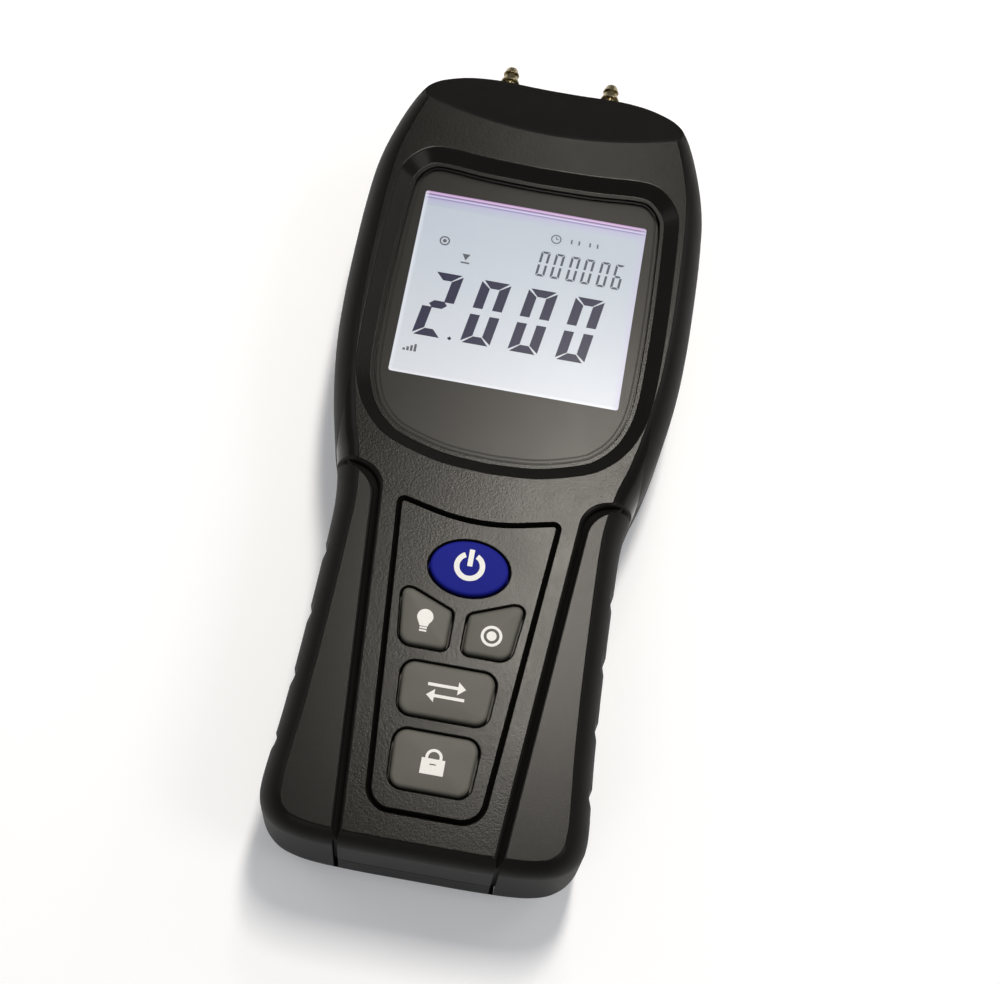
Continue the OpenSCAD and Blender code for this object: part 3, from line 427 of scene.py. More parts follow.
# Outlines of the parts
dish_outline = both_sides(smooth([(s * dish_width / 2, dish_top - t * dish_length)
                                  for s, t in dish_shares], 8))
lens_pocket = grown(dish_outline, -dish_slope - dish_ledge)
lens_outline = grown(dish_outline, -dish_slope - dish_ledge - lens_gap)
keypad_outline = rounded([(-keypad_half_bottom, foot_end + keypad_bottom, keypad_foot_corner),
                          (-keypad_half_top, foot_end + keypad_top, keypad_head_corner),
                          (0, foot_end + keypad_top - 2 * keypad_sag, keypad_bow),
                          (keypad_half_top, foot_end + keypad_top, keypad_head_corner),
                          (keypad_half_bottom, foot_end + keypad_bottom, keypad_foot_corner)], 14)


def small_outline(side):
    """A small key, cut away beside the oval one."""
    inner, outer = small_gap / 2, small_gap / 2 + small_width
    top, bottom = small_middle + small_height / 2, small_middle - small_height / 2
    rows = [(outer, top, key_corner / 2), (outer - small_slant_share * small_width, top, key_corner),
            (inner, top - small_cut_share * small_height, key_corner / 2), (inner, bottom, key_corner / 2),
            (outer - small_taper_share * small_height, bottom, key_corner)]
    return on_side(side, rounded(rows[::-1]))


def wide_outline(middle, w, h):
    return round_box(middle, w, h, key_corner, key_taper_share * w)


key_outlines = {"power_key": oval(power_middle, power_half_width, power_half_height),
                "lamp_key": small_outline(-1), "record_key": small_outline(1),
                "units_key": wide_outline(units_middle, units_width, units_height),
                "hold_key": wide_outline(hold_middle, hold_width, hold_height)}


def grip_region(side, inset):
    return on_side(side, rounded([(seam_foot + inset, foot_end - overrun, 0),
                                  (seam_top + inset, grip_top - inset, seam_bend),
                                  (head_width / 2, grip_top + grip_rise - inset, 0),
                                  (head_width / 2, foot_end - overrun, 0)], 16))


def half_width_at(y):
    return np.interp(y, half_outline[::-1, 1], half_outline[::-1, 0])


# Housing

def lip_steps(radius, steps=6):
    """How far a rounded edge stands back, from a wall up to a flat face: offset and height."""
    turns = pi / 2 * np.arange(steps + 1) / steps
    return [(radius * (1 - cos(t)), body_depth - radius + radius * sin(t)) for t in turns[:-1]]


def grip_pockets(rings):
    """The two shallow pockets that the grips are moulded into. Their upper edge is rounded."""
    clear = grip_thickness + seat_gap
    levels = [(0, grip_base)] + lip_steps(seam_lip) + [(seam_lip * seam_flare_share, body_depth + overrun)]
    cutters = []
    for side in (-1, 1):
        pocket = loft("pocket", [raised(grip_region(side, -by), height) for by, height in levels])
        cutters.append(cut_with(pocket, [form("inner form", rings(clear), -overrun, body_depth - clear)]))
    return cutters


def slope_cutter(radius):
    """The roll whose underside is the hollow slope of the top end."""
    along = np.array([0, cos(slope_angle), -sin(slope_angle)])
    across = np.array([0, sin(slope_angle), cos(slope_angle)])
    start = np.array([0, top_end - slope_line, body_depth]) + across * slope_radius - along * slope_line / 4
    return rod("slope roll", start, along, 2 * slope_line, radius, 360)


def dish_cutters():
    slope = np.arctan2(body_depth - lens_high[2], dish_slope)
    floor, top = lens_high[2], body_depth
    profile = fillet([(-dish_slope - dish_ledge, floor), (-dish_slope, floor), (0, top)],
                     dish_foot_round)
    profile += lip(0, top, dish_lip, slope)
    pocket = [(0, mask_low[2])] + lip(0, floor, lens_lip)
    window = round_box((0, window_middle), opening_width, opening_height, opening_corner)
    return [moulded_cut("dish", dish_outline, profile), moulded_cut("lens pocket", lens_pocket, pocket),
            prism("display opening", window, mask_low[2] - opening_depth, floor)]


def keypad_cutters():
    bottom = (-groove_width / 2, body_depth - groove_depth)
    rim = lip(0, body_depth, groove_lip, np.arctan2(groove_depth, groove_width / 2))[::-1]
    inner = [(-groove_width - x, z) for x, z in rim][::-1]
    groove = moulded_cut("keypad groove", keypad_outline, rim + [bottom] + inner, closed=True)
    holes = [moulded_cut("key hole", grown(shape, key_gap), [(0, body_depth - face_wall - overrun)]
                         + lip(0, body_depth, hole_lip)) for shape in key_outlines.values()]
    return [groove] + holes


def front_cavity():
    inner = body_depth - face_wall
    rings = [cavity_ring(parting_height - overrun, 0)]
    rings += [cavity_ring(inner - up * face_round_height, share * face_round_width)
              for up, share in front_edge_shares]
    return form("front cavity", rings, 0, inner)


def slope_wall():
    """The wall behind the sloped top."""
    wall_piece = form("slope wall", front_rings(0), parting_height, body_depth)
    near_top = block("top end", (-head_width, top_end - 2 * slope_line, 0),
                     (head_width, top_end + overrun, body_depth + 10))
    return kept_in(wall_piece, [near_top, slope_cutter(slope_radius + wall)])


def parting_groove():
    """The fine line where the two shells meet."""
    z = parting_height
    return moulded_cut("parting line", outline, [
        (overrun, z + parting_flare), (-parting_depth, z + parting_half),
        (-parting_depth, z - parting_half), (overrun, z - parting_flare)], closed=True)


screw_places = [(side * x, y) for x, y in ((22.8, 67.5), (19.8, -80.0)) for side in (1, -1)]
boss_radius, pilot_radius, pilot_depth = 3.4, 1.25, 9.6


def at_screws(name, low, length, radius, sides=48):
    """An upright rod at each screw."""
    return [rod(name, (x, y, low), UP, length, radius, sides) for x, y in screw_places]


def make_front_housing():
    """The face: sloped top, dish, keypad groove, key holes, grip pockets and screw bosses."""
    piece = form("front_shell", front_rings(0), parting_height, body_depth)
    cut_with(piece, [front_cavity()])
    inner = body_depth - face_wall + overrun
    window = prism("window frame", grown(dish_outline, -dish_slope / 2), mask_low[2] - window_wall, inner)
    join_with(piece, [slope_wall(), window]
              + at_screws("boss", parting_height, inner - parting_height, boss_radius))
    cut_with(piece, dish_cutters() + [slope_cutter(slope_radius)] + keypad_cutters()
             + at_screws("pilot", parting_height - overrun, pilot_depth + overrun, pilot_radius, 24)
             + [parting_groove()])
    cut_with(piece, grip_pockets(front_rings))
    return fitted(piece, "housing", "front_housing")


# Battery bay
bay_half, bay_wall, bay_wall_drop, bay_foot_gap, bay_head_gap = 17.6, 1.3, 3.0, 3.2, 4.0
bay_sink, bay_inset = 0.5, 0.4
slot_half, slot_low = 6.0, 8.0
terminal_height, rib_gap, free_gap, battery_gap = 2.1, 0.6, 0.35, 0.17
bay_foot = foot_end + wall + grip_thickness + bay_foot_gap
bay_top = door_top + bay_head_gap
bay_wall_top = battery_high[2] - bay_wall_drop

# Battery door
door_half, door_gap, door_thickness, door_recess, door_end_height = 15.4, 0.3, 2.0, 0.2, 8.0
door_travel, hook_length, hook_reach, hook_thickness, hook_wall, hook_root = 6.0, 5.0, 1.2, 1.2, 1.4, 0.1
hook_start, hook_pitch, hook_count = 13.0, 16.0, 3
hook_places = [bay_foot + hook_start + k * hook_pitch for k in range(hook_count)]
finger_ribs, finger_start, finger_pitch, finger_length, finger_radius = 5, 7.0, 2.0, 14.0, 0.6
mark_base, mark_tip, mark_half, mark_depth = 20.0, 24.0, 3.2, 0.35

# Wells, spigot holes and the shallow place on the back
shaft_radius, shaft_low, well_depth = 1.4, 5.0, 6.0
well_rows = [(0, 3.05), (overrun, 2.75), (overrun + 0.25, 2.56), (well_depth + overrun, 2.55)]
spigot_pitch, spigot_height, spigot_hole, hole_length = 22.8, 11.5, 3.1, 8.0
nut_seat_depth, nut_seat_radius = 3.4, 4.95
nut_seat = top_end - wall - nut_seat_depth
label_middle, label_width, label_height, label_corner, label_depth = (0, 22), 46.0, 34.0, 3.0, 0.3


def rear_cavity():
    rings = [cavity_ring(wall + up * back_round_height, share * back_round_width)
             for up, share in rear_edge_shares]
    rings.append(cavity_ring(parting_height + overrun, 0))
    return form("rear cavity", rings, wall, parting_height + 2 * overrun)


def door_space(by, low):
    """Room for the door: a skin that runs along the back and turns up over the foot."""
    space = block("door space", (-door_half - by, foot_end - overrun, low),
                  (door_half + by, door_top + by, door_end_height + by))
    inset = door_thickness + by
    return cut_with(space, [form("inside", rear_rings(inset), inset, parting_height)])


def pair(name, near, far, y0, y1, z0, z1):
    """A block on each side of the middle line, between two distances from it."""
    return [block(name, (min(side * near, side * far), y0, z0), (max(side * near, side * far), y1, z1))
            for side in (1, -1)]


def bay_walls():
    """Walls round the battery with a slot for the leads, ribs beside the battery and screw bosses."""
    walls = block("bay walls", (-bay_half - bay_wall, bay_foot - bay_wall, wall - bay_sink),
                  (bay_half + bay_wall, bay_top + bay_wall, bay_wall_top))
    room = block("bay room", (-bay_half, bay_foot, 0), (bay_half, bay_top, body_depth))
    slot = block("lead slot", (-slot_half, bay_top - overrun, slot_low),
                 (slot_half, bay_top + bay_wall + overrun, body_depth))
    cut_with(walls, [room, slot])
    inner = at_screws("boss", wall - bay_sink, parting_height - wall + bay_sink, boss_radius)
    for y in (battery_low[1], battery_high[1] - terminal_height - 2 * bay_wall):
        inner += pair("rib", battery_high[0] + rib_gap, bay_half + bay_wall / 2, y, y + bay_wall,
                      wall + hook_thickness + 2 * free_gap, bay_wall_top)
    inside = form("inside", rear_rings(bay_inset), bay_sink, parting_height)
    return kept_in(join_with(walls, inner), [inside])


def rear_cutters():
    """Screw wells and shafts, room for the battery and the door's hooks, spigot holes and label place."""
    cutters = [block("battery room",
                     (battery_low[0] - free_gap, battery_low[1] - free_gap, wall + battery_gap),
                     (battery_high[0] + free_gap, battery_high[1], body_depth))]
    plate = round_box(label_middle, label_width, label_height, label_corner)
    rim = grown(plate, label_depth)
    cutters.append(loft("label recess", [raised(rim, -overrun), raised(rim, 0), raised(plate, label_depth)]))
    cutters.append(door_space(door_gap, -overrun))
    for y in hook_places:
        start = y - door_travel
        cutters += pair("hook notch", door_half, door_half + hook_reach + free_gap, start - free_gap,
                        start + hook_length + free_gap, -overrun, wall + overrun)
    cutters += [turned("well", (x, y, -overrun), UP, well_rows, 48) for x, y in screw_places]
    cutters += at_screws("shaft", shaft_low, parting_height, shaft_radius, 24)
    for name, length, radius in (("spigot hole", hole_length, spigot_hole),
                                 ("nut seat", nut_seat_depth, nut_seat_radius)):
        cutters += [rod(name, (side * spigot_pitch / 2, nut_seat, spigot_height), (0, 1, 0), length, radius)
                    for side in (1, -1)]
    return cutters + [parting_groove()]


def make_rear_housing():
    """The back: its rounded tray, battery bay, screw wells, spigot holes and grip pockets."""
    piece = form("rear_shell", rear_rings(0), 0, parting_height)
    cut_with(piece, [rear_cavity()])
    join_with(piece, [bay_walls()])
    cut_with(piece, rear_cutters())
    cut_with(piece, grip_pockets(rear_rings))
    return fitted(piece, "housing", "rear_housing")


def make_battery_door():
    """The sliding door with its hooks, finger ribs and an arrow."""
    piece = kept_in(loft("battery_cover", rear_rings(0)), [door_space(0, door_recess)])
    top = wall + free_gap + hook_thickness
    hooks = []
    for y in hook_places:
        hooks += pair("stem", door_half - hook_wall, door_half, y, y + hook_length,
                      door_thickness - hook_root, top)
        hooks += pair("nose", door_half - hook_wall, door_half + hook_reach, y, y + hook_length,
                      wall + free_gap, top)
    join_with(piece, hooks)
    marks = [rod("finger rib", (-finger_length / 2, door_top - finger_start - k * finger_pitch, door_recess),
                 (1, 0, 0), finger_length, finger_radius, 24) for k in range(finger_ribs)]
    pointer = np.array([(-mark_half, door_top - mark_base), (mark_half, door_top - mark_base),
                        (0, door_top - mark_tip)])
    marks.append(prism("slide mark", pointer, -overrun, door_recess + mark_depth))
    cut_with(piece, marks)
    return fitted(piece, "battery_door", "battery_door")


def make_grip(side, name):
    """A soft side panel with its finger notches."""
    inner_face = body_depth - grip_thickness
    levels = [(0, grip_low[2]), (0, inner_face - toe_step), (toe_rest - seam_gap, inner_face)]
    levels += lip_steps(grip_lip) + [(grip_lip * grip_flare_share, body_depth + overrun)]
    piece = loft(name, [raised(grip_region(side, seam_gap + by), height) for by, height in levels])
    kept_in(piece, [form("outer form", form_rings(0), 0, body_depth)])
    inner = form("inner form", form_rings(grip_thickness), 0, inner_face)
    notches = []
    for y in foot_end + notch_start + np.arange(notch_count) * notch_pitch:
        x = side * (half_width_at(y) + notch_radius - notch_depth)
        notches.append(rod("notch", (x, y, 0), UP, body_depth, notch_radius))
    cut_with(piece, [inner] + notches)
    return fitted(piece, "housing", name.replace("_panel", "_grip"))


# Keys

def make_key(node):
    """A key: a soft-edged cap with a slightly domed top, the flange that keeps it in, and a stem."""
    shape = key_outlines[node]
    low, high = node_box(node)
    top = high[2] - print_room
    edge_top = top - key_crown
    middle = (shape.max(0) + shape.min(0)) / 2
    flange_low = low[2] + key_stem
    flange_top = flange_low + flange_thickness
    rings = [raised(grown(shape, key_flange), flange_low), raised(grown(shape, key_flange), flange_top),
             raised(shape, flange_top), raised(shape, edge_top - key_edge)]
    for t in np.arange(1, key_edge_steps + 1) * pi / 2 / key_edge_steps:
        rings.append(raised(grown(shape, -key_edge * (1 - cos(t))), edge_top - key_edge * (1 - sin(t))))
    flat = grown(shape, -key_edge) - middle
    for share in crown_shares:
        rings.append(raised(middle + flat * share, top - key_crown * share ** 2))
    piece = loft(node + "_cap", rings)
    join_with(piece, [rod("stem", (middle[0], middle[1], low[2]), UP, key_stem_depth, key_stem_radius)])
    return fitted(piece, node, node, 40)


# Signs

def thin_piece(name, shapes, height_at, rise, sink, body):
    """Flat shapes as one thin piece, from a sink under the height there to a rise over it."""
    points, faces = [], []
    for shape in shapes:
        start, n = len(points), len(shape)
        heights = [height_at(x, y) for x, y in shape]
        points += [(x, y, z + rise) for (x, y), z in zip(shape, heights)]
        points += [(x, y, z - sink) for (x, y), z in zip(shape, heights)]
        faces.append(tuple(start + i for i in range(n)))
        faces.append(tuple(start + n + i for i in range(n))[::-1])
        faces += [(start + i, start + n + i, start + n + (i + 1) % n, start + (i + 1) % n) for i in range(n)]
    piece = new_piece(name, points, faces)
    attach(piece, body)
    return piece


def printed(name, shapes, carrier, body):
    """Ink on a piece, which follows the surface under it."""
    tree = BVHTree.FromObject(carrier, bpy.context.evaluated_depsgraph_get())

    def height_at(x, y):
        return tree.ray_cast(Vector((x * mm, y * mm, 0.1)), Vector((0, 0, -1)))[0].z / mm

    return thin_piece(name, shapes, height_at, ink_rise, ink_sink, body)


def display_print(name, shapes):
    """Segments on the display's glass."""
    return thin_piece(name, shapes, lambda x, y: glass_high[2], segment_rise, 0, "housing")


def ring_strip(middle, inner, outer, first, last, count):
    """Short pieces of a ring, each with four corners, from one angle to another."""
    turns = first + (last - first) * np.arange(count + 1) / count
    spokes = np.column_stack([np.cos(turns), np.sin(turns)])
    return [np.array([middle + spokes[k] * inner, middle + spokes[k] * outer,
                      middle + spokes[k + 1] * outer, middle + spokes[k + 1] * inner]) for k in range(count)]


def bar(x0, y0, x1, y1):
    return np.array([(x0, y0), (x0, y1), (x1, y1), (x1, y0)])


def power_sign():
    x, y = power_middle + [0, 0.2]
    gap = radians(27)
    ring = ring_strip(np.array([x, y]), 1.95, 3.0, pi / 2 + gap, 5 * pi / 2 - gap, 48)
    return ring + [bar(x - 0.5, y + k * 0.7, x + 0.5, y + (k + 1) * 0.7) for k in range(5)]


def lamp_sign(x, y):
    """A bulb with two bars for its cap."""
    turns = np.arange(radians(-50), radians(230), radians(14))
    bulb = [(x + 1.55 * cos(t), y + 0.9 + 1.55 * sin(t)) for t in turns]
    neck = [(x - 0.75, y - 1.0), (x + 0.75, y - 1.0)]
    cap = [bar(x - 0.7, y - 1.5 - k * 0.55, x + 0.7, y - 1.15 - k * 0.55) for k in range(2)]
    return [np.array(bulb + neck)] + cap


def dotted_ring(x, y, inner, outer, dot, steps, dot_steps):
    return ring_strip(np.array([x, y]), inner, outer, 0, 2 * pi, steps) + [oval((x, y), dot, dot, dot_steps)]


def arrow(x, y, way, length, half, head):
    """An arrow with a straight shaft and its tip at x, y, which points right where way is 1."""
    back = x - way * head
    end = x - way * length
    return [np.array([(x, y), (back, y + head * 0.85), (back, y - head * 0.85)]),
            np.array([(back, y - half), (back, y + half), (end, y + half), (end, y - half)])]


def units_sign():
    x, y = units_middle
    return [shape for way in (1, -1) for shape in arrow(x + way * 3.6, y + way * 1.05, way, 7.2, 0.3, 1.5)]


def hold_sign():
    """A padlock."""
    x, y = hold_middle
    arch = ring_strip(np.array([x, y + 0.9]), 1.05, 1.6, 0, pi, 24)
    legs = [bar(x + near, y + 0.6, x + near + 0.55, y + 0.9) for near in (1.05, -1.6)]
    return [bar(x - 2.2, y - 2.4, x + 2.2, y + 0.6)] + arch + legs


# Display
# Segments of a digit: the two ends and the way out of the digit, as shares of its width and height
segment_shares = {"top": ((0, 1), (1, 1), (0, 1)), "bottom": ((0, 0), (1, 0), (0, -1)),
                  "middle": ((0, 0.5), (1, 0.5), (0, 0)),
                  "high_right": ((1, 1), (1, 0.5), (1, 0)), "low_right": ((1, 0.5), (1, 0), (1, 0)),
                  "high_left": ((0, 1), (0, 0.5), (-1, 0)), "low_left": ((0, 0.5), (0, 0), (-1, 0))}
digit_segments = {"0": ("top", "high_right", "low_right", "bottom", "low_left", "high_left"),
                  "2": ("top", "high_right", "middle", "low_left", "bottom"),
                  "6": ("top", "high_left", "low_left", "bottom", "low_right", "middle")}
outer_mitre_share, middle_mitre_share = 0.12, 0.35
# Rows of digits: text, left ends, foot, width and height, upright and level stroke, lean and gap
large_row = ("2000", (-20.5, -10.5, -0.7, 9.1), -12.2, (6.1, 15.1), (2.05, 1.75), 0.15, 0.13)
small_row = ("000006", [2.1 + k * 3.05 + k // 2 * 0.25 for k in range(6)], 6.05, (1.95, 6.0), (0.5, 0.5),
             0.1, 0.1)


def segment(name, size, strokes, gap):
    """One segment of an upright digit. It meets its neighbours in narrow mitres."""
    tall, flat = strokes
    first, last, out = (np.array(share, float) for share in segment_shares[name])
    a, b = first * size, last * size
    d = (b - a) / np.linalg.norm(b - a)
    if name == "middle":
        along, across = d * flat / 2, np.array([0, flat / 2])
        a, b = a + d * (tall / 2 + gap), b - d * (tall / 2 + gap)
        return np.array([a, a + along + across, b - along + across, b, b - along - across,
                         a + along - across])
    stroke, run, axis = (flat, tall, 0) if out[1] else (tall, flat, 1)
    halfway = [end[axis] == 0.5 for end in (first, last)]
    near, far = [run * (middle_mitre_share if half else outer_mitre_share) + gap for half in halfway]
    near_in, far_in = [run * (middle_mitre_share if half else 1) + gap for half in halfway]
    return np.array([a + d * near, b - d * far,
                     b - d * far_in - out * stroke, a + d * near_in - out * stroke])


def digits(text, places, foot, size, strokes, lean, gap):
    """The lit segments of a row of digits, placed from the middle of the window."""
    shapes = []
    for mark, x in zip(text, places):
        for name in digit_segments[mark]:
            shape = segment(name, size, strokes, gap)
            shapes.append(shape + np.outer(shape[:, 1], (lean, 0)) + [x, window_middle + foot])
    return shapes


def decimal_point():
    """Two crossed bars after the first large digit."""
    y = window_middle
    return [bar(-13.1, y - 12.05, -12.3, y - 11.7), bar(-12.85, y - 12.25, -12.5, y - 11.45)]


def small_signs():
    """A ring with a dot, a low mark, a clock with four ticks, and rising bars."""
    y = window_middle
    low = [np.array([(-13.45, y + 8.15), (-11.75, y + 8.15), (-12.6, y + 6.62)]),
           bar(-13.5, y + 5.9, -11.7, y + 6.25)]
    clock = ring_strip(np.array([5.2, y + 15.4]), 0.85, 1.1, 0, 2 * pi, 24)
    clock += [bar(5.1, y + 15.4, 5.3, y + 16.05), bar(5.2, y + 15.3, 5.75, y + 15.5)]
    clock += [bar(x, y + 14.9, x + 0.35, y + 15.9) for x in (8.3, 9.9, 12.2, 13.8)]
    bars = [bar(-21.6 + 0.75 * k, y - 16.2, -21.1 + 0.75 * k, y - 15.7 + 0.4 * k) for k in range(4)]
    return dotted_ring(-17.6, y + 10.4, 0.8, 1.1, 0.42, 24, 16) + low + clock + bars


# Materials

class Wire:
    """An output of a shader graph. Sums and products of wires and numbers add their Math nodes."""

    def __init__(self, finish, socket):
        self.finish, self.socket = finish, socket

    def maths(self, operation, *values):
        return self.finish.add("ShaderNodeMath", {"operation": operation}, dict(enumerate(values)))

    def __add__(self, other):
        return self.maths("ADD", self, other)

    def __radd__(self, other):
        return self.maths("ADD", other, self)

    def __sub__(self, other):
        return self.maths("SUBTRACT", self, other)

    def __rsub__(self, other):
        return self.maths("SUBTRACT", other, self)

    def __mul__(self, other):
        return self.maths("MULTIPLY", self, other)

    def __rmul__(self, other):
        return self.maths("MULTIPLY", other, self)

    def __abs__(self):
        return self.maths("ABSOLUTE", self)

    def __gt__(self, other):
        return self.maths("GREATER_THAN", self, other)

    def __lt__(self, other):
        return self.maths("LESS_THAN", self, other)


class Finish:
    """A node material with a Principled surface."""

    def __init__(self, name, **constants):
        self.material = bpy.data.materials.new(name)
        self.material.use_nodes = True
        self.tree = self.material.node_tree
        self.surface = self.tree.nodes["Principled BSDF"]
        for socket, value in constants.items():
            self.surface.inputs[socket.replace("_", " ")].default_value = value

    def add(self, kind, settings=None, values=None, out=0):
        """Adds a node of a kind, with its settings and then the values or links of its sockets."""
        node = self.tree.nodes.new(kind)
        for key, value in (settings or {}).items():
            if key == "stops":
                ramp = node.color_ramp
                while len(ramp.elements) < len(value):
                    ramp.elements.new(1)
                for stop, (place, colour) in zip(ramp.elements, value):
                    stop.position = place
                    stop.color = colour
            else:
                setattr(node, key, value)
        for key, value in (values or {}).items():
            if isinstance(value, Wire):
                self.tree.links.new(value.socket, node.inputs[key])
            else:
                node.inputs[key].default_value = value
        return Wire(self, node.outputs[out])

    def feed(self, socket, wire):
        self.tree.links.new(wire.socket, self.surface.inputs[socket])

    def place(self):
        return self.add("ShaderNodeTexCoord", out="Object")

    def along(self, axis):
        """Place along one axis of the object, in metres."""
        return self.add("ShaderNodeSeparateXYZ", None, {"Vector": self.place()}, axis)

    def below_face(self):
        """0 on the flat face, which handling has polished, and 1 on all that stands back from it."""
        x, y, z = (self.along(axis) for axis in "XYZ")
        beside = (abs(x) > dish_width / 2 * mm) + (y > (dish_top + 0.5) * mm) + (z < parting_height * mm)
        beside = beside + (y < (dish_top - dish_length - 1) * mm)
        return self.spread(z, body_depth - 0.03, body_depth - 0.7) * (beside > 0.5)

    def noise(self, size, detail=3.0, roughness=0.55):
        """Noise from 0 to 1 whose features are about as large as size, in millimetres."""
        return self.add("ShaderNodeTexNoise", None, {
            "Vector": self.place(), "Scale": 1 / (size * mm), "Detail": detail,
            "Roughness": roughness}, "Fac")

    def spread(self, place, start, end):
        """0 where a place is at its start, in millimetres, 1 at its end, and held beyond both."""
        return self.add("ShaderNodeMapRange", {"clamp": True}, {
            "Value": place, "From Min": start * mm, "From Max": end * mm}, "Result")

    def mixed(self, factor, first, second):
        """One colour over another by a factor."""
        colours = [c if isinstance(c, Wire) else (*c, 1) for c in (first, second)]
        return self.add("ShaderNodeMix", {"data_type": "RGBA"}, {0: factor, 6: colours[0], 7: colours[1]}, 2)

    def shades(self, factor, *colours):
        """Colours spread over a factor from 0 to 1."""
        last = len(colours) - 1
        stops = [(i / last, (*c, 1)) for i, c in enumerate(colours)]
        return self.add("ShaderNodeValToRGB", {"stops": stops}, {"Fac": factor}, "Color")

    def tone(self, factor, colour, dark, light):
        """The base colour, from a darker tone through the colour to a lighter one."""
        self.feed("Base Color", self.shades(factor, tinted(colour, dark), colour, tinted(colour, light)))

    def bump(self, height, depth):
        """A bump of a depth in millimetres."""
        self.feed("Normal", self.add("ShaderNodeBump", None, {
            "Height": height, "Distance": depth * mm}, "Normal"))


def tinted(colour, by):
    return tuple(c * by for c in colour)


def moulded_plastic(name, colour, roughness, grain=0.42, depth=0.022, gloss=0.12):
    """Moulded plastic with a spark-eroded grain, faint cloudiness and hand-polished high spots."""
    finish = Finish(name, Specular_IOR_Level=gloss)
    grains = finish.noise(grain, 2.0, 0.6)
    finish.tone(finish.noise(26) * 0.65 + grains * 0.35, colour, 0.8, 1.22)
    handled = finish.noise(9, 4.0)
    finish.feed("Roughness", roughness - 0.06 + handled * 0.08 + grains * 0.06 + finish.below_face() * 0.3)
    finish.bump(grains, depth)
    return finish.material


def key_plastic(name, colour, roughness, gloss=0.3):
    finish = Finish(name, Specular_IOR_Level=gloss)
    fine = finish.noise(0.16, 2.0)
    finish.tone(finish.noise(5) * 0.7 + fine * 0.3, colour, 0.88, 1.12)
    finish.feed("Roughness", roughness + fine * 0.08)
    finish.bump(fine, 0.012)
    return finish.material


def soft_rubber(name, colour):
    finish = Finish(name, Specular_IOR_Level=0.12)
    fine = finish.noise(0.3, 2.5, 0.6)
    finish.tone(finish.noise(18) * 0.7 + fine * 0.3, colour, 0.82, 1.2)
    finish.feed("Roughness", 0.22 + fine * 0.08 + finish.below_face() * 0.3)
    finish.bump(fine, 0.016)
    return finish.material


def turned_metal(name, colour, roughness, axis="Y", pitch=0.12):
    """Turned metal: fine tool marks round the axis and a few darker patches."""
    finish = Finish(name, Metallic=1.0)
    marks = finish.add("ShaderNodeTexNoise", {"noise_dimensions": "1D"}, {
        "W": finish.along(axis) * (1 / (pitch * mm)), "Scale": 1.0, "Detail": 2.0}, "Fac")
    tarnish = finish.noise(1.6, 4.0)
    finish.tone(tarnish, colour, 0.6, 1.15)
    finish.feed("Roughness", roughness + marks * 0.12 + tarnish * 0.1)
    finish.bump(marks, 0.01)
    return finish.material


def printed_ink(name, colour):
    finish = Finish(name, Specular_IOR_Level=0.2)
    worn = finish.noise(0.5)
    finish.tone(worn, colour, 0.88, 1)
    finish.feed("Roughness", 0.42 + worn * 0.1)
    return finish.material


def clear_lens(name):
    """Clear acrylic with a satin front and faint wiping haze."""
    finish = Finish(name, Alpha=0.16, Specular_IOR_Level=0.4, Base_Color=(0.01, 0.01, 0.01, 1))
    finish.feed("Roughness", 0.23 + finish.noise(9, 4.0) * 0.06)
    return finish.material


# Bands along the display's top edge, from the edge down, and how far they reach: lilac light, whose dark
# lines are painted shadow of the lens print's edge
top_glow_and_mask_shadow = [(0, (0.50, 0.32, 0.56, 1)), (0.08, (0.72, 0.50, 0.76, 1)), (0.16, (0.07, 0.05, 0.17, 1)),
             (0.22, (0.30, 0.22, 0.44, 1)), (0.31, (0.66, 0.60, 0.84, 1)), (0.38, (0.18, 0.16, 0.36, 1)),
             (0.5, (0.41, 0.41, 0.58, 1)), (1, (0.42, 0.475, 0.55, 1))]
bands_reach, bands_blend = 3.4, 0.1


def lit_display(name):
    """A backlit liquid crystal cell: pale grey-blue light, lilac along the top with dark lines of painted
    shadow from the lens print's edge, brighter at its edges, and darker towards the right as painted shade
    against the lamps' sheen on the lens.
    """
    finish = Finish(name, Roughness=0.3, Emission_Strength=1.4, Base_Color=(0.03, 0.03, 0.035, 1))
    x, y = (finish.along(axis) for axis in "XY")
    half = window_width / 2
    top, foot = window_middle + window_height / 2, window_middle - window_height / 2
    # Tone of the light: noise, lighter towards the foot, and darker towards the right, which is painted
    # shade that offsets the lamps' sheen on the lens
    tone = (finish.noise(14, 2.0) * 0.12 + finish.spread(y, top, foot) * 0.9
            - finish.spread(x, -half, half) * 0.4 + 0.1)
    body = finish.shades(tone, (0.42, 0.475, 0.545), (0.49, 0.535, 0.60), (0.575, 0.60, 0.645))
    bands_foot = top - bands_reach
    # Lilac light along the top, with dark lines painted in as the shadow of the lens print's edge
    top_glow_and_shadow = finish.add("ShaderNodeValToRGB", {"stops": top_glow_and_mask_shadow},
                       {"Fac": finish.spread(y, top, bands_foot)}, "Color")
    lit = finish.mixed(finish.spread(y, bands_foot - bands_blend, bands_foot + bands_blend), body, top_glow_and_shadow)
    for place, start, end, strength, colour in (
            (x, 0.9 - half, 0.35 - half, 0.6, (0.70, 0.73, 0.80)),
            (y, foot + 1.0, foot + 0.5, 0.55, (0.76, 0.78, 0.84)),
            (x, half - 1.6, half - 0.2, 0.6, (0.46, 0.43, 0.62))):
        lit = finish.mixed(finish.spread(place, start, end) * strength, lit, colour)
    finish.feed("Emission Color", lit)
    return finish.material


def dress_slope(piece, material):
    """Gives the hollow slope of the top end its own finish: less glossy and rougher, with a darker colour
    that is painted shade.
    """
    piece.data.materials.append(material)
    for face in piece.data.polygons:
        if face.center.y > (dish_top + 4) * mm and face.normal.y > 0.3 and face.normal.z > 0.6:
            face.material_index = 1


def dress(piece, material):
    piece.data.materials.clear()
    piece.data.materials.append(material)


def dress_node(name, material):
    dress(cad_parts[name], material)


